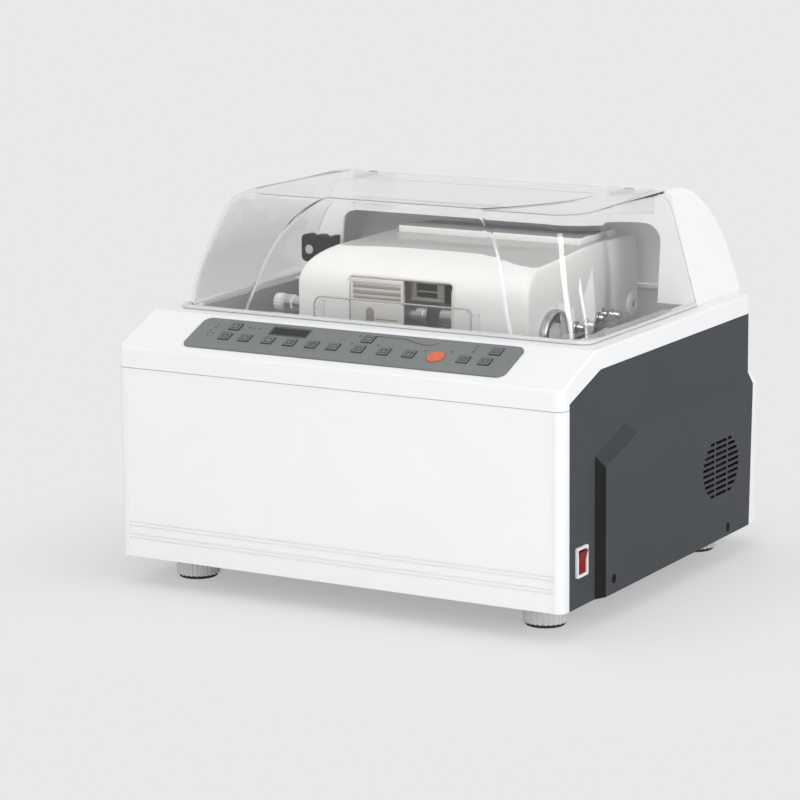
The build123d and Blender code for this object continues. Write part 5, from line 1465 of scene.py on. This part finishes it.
@dataclass
class SideFittings(SubAssembly):
    """Chrome arch and hose tails on the head's right side.

    Attributes:
        face_x: Side wall that carries them.
        arch_y: Middle of the arch.
        arch_z: Centre height of the arch.
        arch_r: Outer radius of the arch.
        band_half: Half the width and half the thickness of its band.
        band_corner: Corner radius of the band.
        stand_off: How far the band's middle stands off the wall.
        screw: Profile of the screw under the arch, as pairs of radius and outward place.
        screw_at: Where the screw sits from the arch's centre, back and up.
        tail: Profile of a hose tail: nut, neck and barbs.
        tails_at: Y and Z of each hose tail.
    """

    face_x: float = HEAD_HALF_X
    arch_y: float = -28.0
    arch_z: float = 262.0
    arch_r: float = 27.0
    band_half: tuple[float, float] = (4.6, 3.6)
    band_corner: float = 2.2
    stand_off: float = 4.0
    screw: tuple[tuple[float, float], ...] = (
        (6.4, 0), (6.4, 7.6), (5.8, 8.6), (3.0, 9.0), (2.6, 8.2), (0.4, 8.0)
    )
    screw_at: tuple[float, float] = (2.0, 19.0)
    tail: tuple[tuple[float, float], ...] = (
        (6.6, 0), (6.6, 3.0), (6.0, 3.6), (4.2, 3.8), (3.6, 4.2), (3.6, 5.5), (4.5, 5.6),
        (3.7, 8.0), (4.5, 8.1), (3.7, 10.5), (4.3, 10.6), (3.4, 12.6), (0.5, 12.8)
    )
    tails_at: tuple[tuple[float, float], ...] = ((25.0, 262.0), (52.0, 260.0), (86.0, 262.0), (104.0, 263.0))

    def band(self) -> Skin:
        """Arch: a rounded band bent over a little more than a half circle.

        Returns:
            Vertices and faces.
        """
        turn = np.radians(np.linspace(-4, 184, 40))
        section = rounded_outline(*self.band_half, self.band_corner, 4)
        radial = np.stack([np.zeros_like(turn), np.cos(turn), np.sin(turn)], -1)
        middle = np.array([self.face_x + self.stand_off, self.arch_y, self.arch_z])
        centre = middle + (self.arch_r - self.band_half[1]) * radial
        outward = section[None, :, :1] * np.array([1.0, 0, 0])
        return loft(centre[:, None] + section[None, :, 1:] * radial[:, None] + outward)

    def on_wall(self, profile: tuple[tuple[float, float], ...], around: int, y: float, z: float) -> Skin:
        """Turned form that stands on the side wall."""
        return loft(place(turned(np.array(profile), around), Side.RIGHT, (self.face_x, y, z)))

    def build(self) -> list[Piece]:
        """Makes the fittings in place of the plain ones.

        Returns:
            The arch with its screw, and the hose tails.
        """
        back, up = self.screw_at
        screw = self.on_wall(self.screw, 28, self.arch_y + back, self.arch_z + up)
        tails = [self.on_wall(self.tail, 24, y, z) for y, z in self.tails_at]
        arch = self.wardrobe.piece("side_arch", [self.band(), screw], "head", "dark_chrome", 35)
        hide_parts("side_fittings")
        return [arch, self.wardrobe.piece("side_hoses", tails, "head", "dark_chrome", 35)]


@dataclass
class HandKnob(SubAssembly):
    """Pale turning knob on the left end of the lens shaft: a notched ring, a neck and a hexagon.

    Attributes:
        outer_x: Outer end of the knob.
        ring_x: Inner face of the ring.
        inner_x: Inner end of the hexagon.
        neck: Length of the neck between ring and hexagon.
        ring_r: Radius of the ring.
        hex_r: Corner radius of the hexagon.
        notches: Notches round the ring.
        notch: Share of the radius that a notch is deep.
        softened: Share of the radius at which the hexagon's corners are cut off.
    """

    outer_x: float = -175.0
    ring_x: float = -164.0
    inner_x: float = -150.5
    neck: float = 1.6
    ring_r: float = 9.4
    hex_r: float = 9.3
    notches: int = 12
    notch: float = 0.05
    softened: float = 0.965

    def along_shaft(self, start: float, along: np.ndarray, radius: np.ndarray) -> Skin:
        """Form along the lens shaft, from each ring's place along X and its radius at each angle.

        Args:
            start: X of the first ring.
            along: Place of each ring from there.
            radius: Radius, shape (rings, around).

        Returns:
            Vertices and faces.
        """
        angle = np.linspace(0, WHOLE_TURN, radius.shape[1], endpoint=False)
        x = np.broadcast_to(start + along[:, None], radius.shape)
        return loft(np.stack([x, LENS_Y + radius * np.cos(angle), LENS_Z + radius * np.sin(angle)], -1))

    def ring(self) -> Skin:
        """Ring: a rounded profile along X whose full radius dips by the notch's share round the rim.

        Returns:
            Vertices and faces.
        """
        angle = np.linspace(0, WHOLE_TURN, 12 * self.notches, endpoint=False)
        notched = 1 - self.notch * np.clip(np.cos(self.notches * angle) * 3 - 1.6, 0, 1)
        length = self.ring_x - self.outer_x
        profile = np.array([
            [0.35, 0.0], [0.5, 0.9], [0.86, 0.9], [0.97, 1.4], [1.0, 2.6],
            [1.0, length - 1.6], [0.96, length - 0.4], [0.7, length], [0.7, length + 1.8],
        ])
        share = profile[:, :1]
        radius = self.ring_r * share * np.where(share > 0.9, notched, 1.0)
        return self.along_shaft(self.outer_x, profile[:, 1], radius)

    def hexagon(self) -> Skin:
        """Hexagon with softened corners: the radius follows 1 / cos of the angle from each flat's middle.

        Returns:
            Vertices and faces.
        """
        half_flat = math.pi / 6
        angle = np.linspace(0, WHOLE_TURN, 72, endpoint=False)
        from_flat = (angle + half_flat) % (2 * half_flat) - half_flat
        shape = np.minimum(math.cos(half_flat) / np.cos(from_flat), self.softened)
        start = self.ring_x + self.neck
        length = self.inner_x - start
        profile = np.array([[0.9, 0.0], [0.99, 0.8], [1.0, 1.2], [1.0, length - 1.0], [0.94, length]])
        return self.along_shaft(start, profile[:, 1], self.hex_r * profile[:, :1] * shape)

    def build(self) -> list[Piece]:
        """Makes the knob."""
        parts = [self.ring(), self.hexagon()]
        return [self.wardrobe.piece("hand_knob", parts, "lens_shaft_l", "knob_pale", 30)]


# ---------------------------------------------------------------- console
class Glyph(Enum):
    """Plain signs on the keys, as lines in a field one unit to each side."""

    UP = (((-0.8, -0.4), (0.0, 0.6), (0.8, -0.4)),)
    DOWN = (((-0.8, 0.4), (0.0, -0.6), (0.8, 0.4)),)
    LEFT = (((0.5, 0.8), (-0.6, 0.0), (0.5, -0.8)),)
    RIGHT = (((-0.5, 0.8), (0.6, 0.0), (-0.5, -0.8)),)
    PLUS = (((-0.8, 0.0), (0.8, 0.0)), ((0.0, -0.8), (0.0, 0.8)))
    MINUS = (((-0.8, 0.0), (0.8, 0.0)),)
    BARS = (((-0.8, 0.5), (0.8, 0.5)), ((-0.8, 0.0), (0.4, 0.0)), ((-0.8, -0.5), (0.8, -0.5)))
    SLOPE = (((-0.8, -0.6), (0.8, 0.6)), ((-0.8, -0.6), (0.8, -0.6)))
    LENS = (tuple((math.cos(t / 8 * math.pi), 0.62 * math.sin(t / 8 * math.pi)) for t in range(17)),)
    BRIDGE = (
        tuple((0.5 + 0.42 * math.cos(t / 6 * math.pi), 0.42 * math.sin(t / 6 * math.pi)) for t in range(13)),
        tuple((-0.5 + 0.42 * math.cos(t / 6 * math.pi), 0.42 * math.sin(t / 6 * math.pi)) for t in range(13)),
    )


@dataclass
class Console(SubAssembly):
    """Prints on the console: a frame and a sign on every key, a window frame and one curved line.

    Attributes:
        keys: Number of small keys.
        line_r: Radius of a printed line, which lies half sunk.
        sign_bold: How much thicker a sign's lines are than a frame's.
        frame_in: How far a key's printed frame lies inside the key's edge.
        frame_corner: Corner radius of that frame.
        sign_half: Half the width of a sign.
        ring_share: Radius of the start key's ring as a share of the key's own.
        ring_bold: How much thicker the ring is than a frame.
        window_out: How far the window's frame lies outside its edge.
        window_corner: Corner radius of that frame.
        window_line: Radius of its line.
        window_up: Height of the window's middle on the slope.
        curve_u: Across places of the curved line's ends.
        curve_v: Height of the curved line on the slope.
        curve_line: Radius of the curved line.
        curve_dip: How far it dips.
        curve_lift: How far it rises again at its end.
    """

    keys: int = 14
    line_r: float = 0.22
    sign_bold: float = 1.3
    frame_in: float = 1.7
    frame_corner: float = 1.0
    sign_half: float = 2.5
    ring_share: float = 0.72
    ring_bold: float = 1.4
    window_out: float = 1.2
    window_corner: float = 1.4
    window_line: float = 0.45
    window_up: float = 54.5
    curve_u: tuple[float, float] = (12.0, 92.0)
    curve_v: float = 62.0
    curve_line: float = 0.4
    curve_dip: float = 7.0
    curve_lift: float = 5.0

    def crown(self, name: str) -> tuple[np.ndarray, np.ndarray]:
        """Middle and half size of a node's top face, in the slope's own (across, up, outward) directions.

        Args:
            name: Node of the frame.

        Returns:
            Its middle and its half size.
        """
        mesh = frame["nodes"][name].data
        flat = np.empty(len(mesh.vertices) * 3)
        mesh.vertices.foreach_get("co", flat)
        flat = flat.reshape(-1, 3) / MM @ np.asarray(Side.CONSOLE.value).T
        top = flat[flat[:, 2] > flat[:, 2].max() - 0.05]
        low, high = top.min(0), top.max(0)
        return (low + high) / 2, (high - low) / 2

    def line(self, points: np.ndarray, origin: np.ndarray, radius: float) -> Skin:
        """One printed line: a thin tube along points of the slope.

        Args:
            points: Across and up places from the origin.
            origin: Where they start, in the slope's own directions.
            radius: Radius of the line.

        Returns:
            Vertices and faces.
        """
        flat = np.column_stack([points, np.zeros(len(points))]) + origin
        return loft(tube(place(flat, Side.CONSOLE, (0, 0, 0)), radius, 6))

    def key_print(self, name: str, glyph: Glyph) -> Piece:
        """Frame and sign of one key, riding on its cap.

        Args:
            name: Node of the key.
            glyph: Its sign.

        Returns:
            The print.
        """
        middle, half = self.crown(name)
        edge = rounded_outline(*(half[:2] - self.frame_in), self.frame_corner, 3)
        lines = [self.line(closed_line(edge), middle, self.line_r)]
        bold = self.line_r * self.sign_bold
        lines += [self.line(np.array(stroke) * self.sign_half, middle, bold) for stroke in glyph.value]
        return self.wardrobe.piece(f"{name}_print", lines, f"{name}_cap", "print_pale", 50)

    def start_ring(self) -> Piece:
        """Ring printed on the round start key.

        Returns:
            The ring.
        """
        middle, half = self.crown("start_key")
        turn = np.linspace(0, WHOLE_TURN, 41)
        circle = self.ring_share * half[0] * np.stack([np.cos(turn), np.sin(turn)], -1)
        ring = self.line(circle, middle, self.line_r * self.ring_bold)
        return self.wardrobe.piece("start_print", [ring], "start_key_cap", "key_orange", 50)

    def window_frame(self) -> Piece:
        """Thin dark frame printed round the display window, on the plate's own level.

        Returns:
            The frame.
        """
        middle, half = self.crown("display_window")
        plate, _ = self.crown("control_panel")
        edge = rounded_outline(*(half[:2] + self.window_out), self.window_corner, 4)
        frame_line = self.line(closed_line(edge), np.array([*middle[:2], plate[2]]), self.window_line)
        return self.wardrobe.piece("window_frame", [frame_line], "root", "print_dark", 50)

    def curved_line(self) -> Piece:
        """Curved printed line: level, then dipping by a half cosine and rising by a square at its end.

        Returns:
            The line.
        """
        window, _ = self.crown("display_window")
        plate, _ = self.crown("control_panel")
        share = np.linspace(0, 1, 40)
        dip = self.curve_dip * (1 - np.cos(share_of(share, 0.45, 0.85) * math.pi)) / 2
        lift = self.curve_lift * share_of(share, 0.88, 1.0) ** 2
        start, end = self.curve_u
        points = np.stack([start + (end - start) * share, self.curve_v - dip + lift], -1)
        foot = np.array([0.0, window[1] - self.window_up, plate[2]])
        line = self.line(points, foot, self.curve_line)
        return self.wardrobe.piece("curved_line", [line], "root", "print_dark", 50)

    def build(self) -> list[Piece]:
        """Makes every print on the console; each next key takes the third sign further on.

        Returns:
            The prints of the keys, the ring, the frame and the curved line.
        """
        glyphs = list(Glyph)
        signs = [glyphs[number * 3 % len(glyphs)] for number in range(1, self.keys + 1)]
        made = [self.key_print(f"key_{number:02d}", sign) for number, sign in enumerate(signs, 1)]
        return made + [self.start_ring(), self.window_frame(), self.curved_line()]


# ---------------------------------------------------------------- studio
@dataclass
class Studio:
    """Camera, lamps, surrounding light and floor; the lamps and the floor are in metres and watts.

    Attributes:
        azimuth_deg: Angle of the view to the right of straight on.
        elevation_deg: Angle of the view above level.
        roll_deg: Turn of the picture about its middle.
        distance: From the camera to the plane through the aim, mm.
        aim: Point that the offsets are measured from, mm.
        offset: How far right and up of the aim the picture's middle lies, mm.
        focal_px: Focal length in pixels of the picture.
        picture_px: Width of the picture in pixels.
        sensor: Width of the camera's sensor, mm.
        sight: Greatest distance that the camera sees.
        heart: Point between the ends of the head that the gleams stand around.
        gleam_away: How far from there they stand.
        light: Strength of the surrounding light.
        light_tint: Its colour.
        grey: Brightness of the backdrop as it is seen.
        paint: Reflectance of the floor.
        glow_near: Share of the backdrop's glow that the floor has close to the machine.
        glow_from: Half width and half depth of the field where that share holds.
        glow_run: Length over which the share grows to the whole.
        floor_half: Half the width of the floor.
        floor_reach: How far it runs level, before and behind.
        floor_bend: Radius of its bend into the backdrop.
        floor_tall: Height of the backdrop.
    """

    azimuth_deg: float = 30.02
    elevation_deg: float = 11.50
    roll_deg: float = -0.52
    distance: float = 3526.0
    aim: Point = (0.0, 0.0, 200.0)
    offset: tuple[float, float] = (51.5, 23.4)
    focal_px: float = 3326.4
    picture_px: float = 800.0
    sensor: float = 36.0
    sight: float = 50.0
    heart: Point = (0.2, -0.12, 0.33)
    gleam_away: float = 2.4
    light: float = 0.84
    light_tint: Colour = (0.99, 0.995, 1.0)
    grey: float = 0.812
    paint: float = 0.8
    glow_near: float = 0.46
    glow_from: tuple[float, float] = (0.25, 0.22)
    glow_run: float = 0.32
    floor_half: float = 12.0
    floor_reach: float = 5.0
    floor_bend: float = 2.0
    floor_tall: float = 5.0

    def camera(self) -> None:
        """Puts the camera where its angles and distance say."""
        az, el, roll = (math.radians(a) for a in (self.azimuth_deg, self.elevation_deg, self.roll_deg))
        back = np.array([math.sin(az) * math.cos(el), -math.cos(az) * math.cos(el), math.sin(el)])
        level = np.array([math.cos(az), math.sin(az), 0.0])
        rise = np.cross(back, level)
        right = math.cos(roll) * level + math.sin(roll) * rise
        up = math.cos(roll) * rise - math.sin(roll) * level
        spot = np.array(self.aim) + self.distance * back - self.offset[0] * right - self.offset[1] * up
        data = bpy.data.cameras.new("camera")
        data.sensor_width = self.sensor
        data.lens = self.focal_px * self.sensor / self.picture_px
        data.clip_end = self.sight
        eye = bpy.data.objects.new("camera", data)
        turned_axes = np.eye(4)
        turned_axes[:3] = np.column_stack([right, up, back, spot * MM])
        eye.matrix_world = Matrix(turned_axes.tolist())
        bpy.context.scene.collection.objects.link(eye)
        bpy.context.scene.camera = eye

    def lamp(self, name: str, spot: Point, size: tuple[float, float], power: float, aim: Point) -> Piece:
        """Rectangular lamp at a spot, turned towards an aim.

        Args:
            name: Name of the lamp.
            spot: Where it stands.
            size: Its width and height.
            power: Its power.
            aim: What it points at.

        Returns:
            The lamp.
        """
        data = bpy.data.lights.new(name, "AREA")
        data.shape = "RECTANGLE"
        data.size, data.size_y = size
        data.energy = power
        lamp = bpy.data.objects.new(name, data)
        lamp.location = spot
        lamp.rotation_euler = (Vector(aim) - Vector(spot)).to_track_quat("-Z", "Y").to_euler()
        bpy.context.scene.collection.objects.link(lamp)
        return lamp

    def gleam(
        self, name: str, low: tuple[float, float], high: tuple[float, float], width: float, power: float
    ) -> Piece:
        """Narrow bright strip between two directions, seen only where a gloss mirrors it.

        Args:
            name: Name of the lamp.
            low: Bearing to the right of straight on and height angle of the strip's lower end, degrees.
            high: The same for its upper end.
            width: Width of the strip.
            power: Its power.

        Returns:
            The lamp.
        """
        heart = Vector(self.heart)
        ends = []
        for bearing, height in (low, high):
            turn, lift = math.radians(bearing), math.radians(height)
            away = Vector((math.sin(turn) * math.cos(lift), -math.cos(turn) * math.cos(lift), math.sin(lift)))
            ends.append(heart + self.gleam_away * away)
        middle = (ends[0] + ends[1]) / 2
        along = (ends[1] - ends[0]).normalized()
        across = along.cross((middle - heart).normalized()).normalized()
        strip = self.lamp(name, middle, (width, (ends[1] - ends[0]).length), power, (0, 0, 0.3))
        strip.rotation_euler = Matrix((across, along, across.cross(along))).transposed().to_euler()
        strip.visible_diffuse = False
        return strip

    def lamps(self) -> None:
        """Soft lamps overhead, in front and at the right, and two bright strips seen only in glosses."""
        machine = (0, 0, 0.2)
        self.lamp("overhead", (0.0, -0.2, 2.4), (2.4, 2.4), 4.6, machine)
        self.lamp("front_right", (0.9, -2.6, 1.0), (1.8, 1.6), 16.0, machine)
        self.lamp("right", (2.6, -0.5, 1.1), (1.2, 1.6), 15.0, machine)
        self.gleam("gleam_front", (28.0, 3.0), (2.0, 54.0), 0.42, 17.0)
        self.gleam("gleam_corner", (72.0, 0.0), (56.0, 40.0), 0.24, 8.0)

    def seen_grey(self, tree: Tree, kind: str) -> Socket:
        """Plain grey of the backdrop, as an emission or a background."""
        return node(tree, kind, {"Color": (self.grey, self.grey, self.grey, 1)}).outputs[0]

    def world(self) -> None:
        """Even surrounding light, with the backdrop's grey where the camera or a clear sheet sees it."""
        world = bpy.data.worlds.new("surround")
        bpy.context.scene.world = world
        world.use_nodes = True
        tree = world.node_tree
        light = tree.nodes["Background"]
        feed(light, {"Color": (*self.light_tint, 1), "Strength": self.light})
        path = node(tree, "LightPath").outputs
        seen = greatest(tree, path["Is Camera Ray"], path["Is Transmission Ray"])
        choose(tree, seen, light.outputs[0], self.seen_grey(tree, "Background"), tree.nodes["World Output"])

    def floor_mesh(self) -> bpy.types.Mesh:
        """Floor that rises into a backdrop: its depth runs level, round a quarter circle, then up.

        Returns:
            The mesh, turned to face the camera.
        """
        turn = np.linspace(0, QUARTER, 13)
        reach, bend = self.floor_reach, self.floor_bend
        depth = np.concatenate([[-reach], reach + bend * np.sin(turn), [reach + bend]])
        rise = np.concatenate([[0.0], bend * (1 - np.cos(turn)), [self.floor_tall]])
        az = math.radians(self.azimuth_deg)
        into = np.array([-math.sin(az), math.cos(az)])
        side = np.array([math.cos(az), math.sin(az)])
        across = np.array([-self.floor_half, self.floor_half])
        grid = across[None, :, None] * side + depth[:, None, None] * into
        points = np.dstack([grid, np.repeat(rise[:, None], 2, 1)])
        mesh = bpy.data.meshes.new("floor")
        mesh.from_pydata(points.reshape(-1, 3).tolist(), [], grid_faces(len(depth), 2).tolist())
        mesh.polygons.foreach_set("use_smooth", np.ones(len(mesh.polygons), bool))
        return mesh

    def floor_paint(self) -> bpy.types.Material:
        """Matt paint that also glows as grey as the backdrop, less so close to the machine.

        Returns:
            The material.
        """
        material, tree, shader = fresh("floor_paint")
        paint = (self.paint, self.paint, self.paint, 1)
        feed(shader, {"Base Color": paint, "Roughness": 0.95, "Specular IOR Level": 0.05})
        away = node(tree, "TexCoord").outputs["Object"]
        steps = (("ABSOLUTE", {}), ("SUBTRACT", {1: (*self.glow_from, 0)}), ("MAXIMUM", {1: (0, 0, 0)}))
        for operation, others in steps:
            away = node(tree, "VectorMath", {0: away, **others}, operation=operation).outputs["Vector"]
        beyond = node(tree, "VectorMath", {0: away}, operation="LENGTH").outputs["Value"]
        far = ramp(tree, beyond, 0.0, self.glow_run, self.glow_near, 1.0)
        path = node(tree, "LightPath").outputs
        seen = greatest(tree, path["Is Camera Ray"], path["Is Transmission Ray"], path["Is Glossy Ray"])
        share = node(tree, "Math", {0: seen, 1: far}, operation="MULTIPLY").outputs[0]
        glow = self.seen_grey(tree, "Emission")
        choose(tree, share, shader.outputs[0], glow, tree.nodes["Material Output"])
        return material

    def floor(self) -> None:
        """Lays the pale floor with its backdrop."""
        mesh = self.floor_mesh()
        mesh.materials.append(self.floor_paint())
        sheet = bpy.data.objects.new("floor", mesh)
        bpy.context.scene.collection.objects.link(sheet)

    def build(self) -> None:
        """Sets up the whole studio."""
        self.camera()
        self.lamps()
        self.world()
        self.floor()
        bpy.context.scene.view_settings.view_transform = "Standard"


def main() -> None:
    """Builds the studio and the dressed machine."""
    logging.basicConfig(level=logging.INFO, format="%(message)s")
    Studio().build()
    wardrobe = Wardrobe()
    wardrobe.dress_nodes()
    for kind in (Hood, HeadShell, LensMouth, SplashGuard, SideFittings, HandKnob, Console):
        for piece in kind(wardrobe).build():
            LOG.info("%s: %s with %d faces", kind.__name__, piece.name, len(piece.data.polygons))


if __name__ == "__main__":
    main()
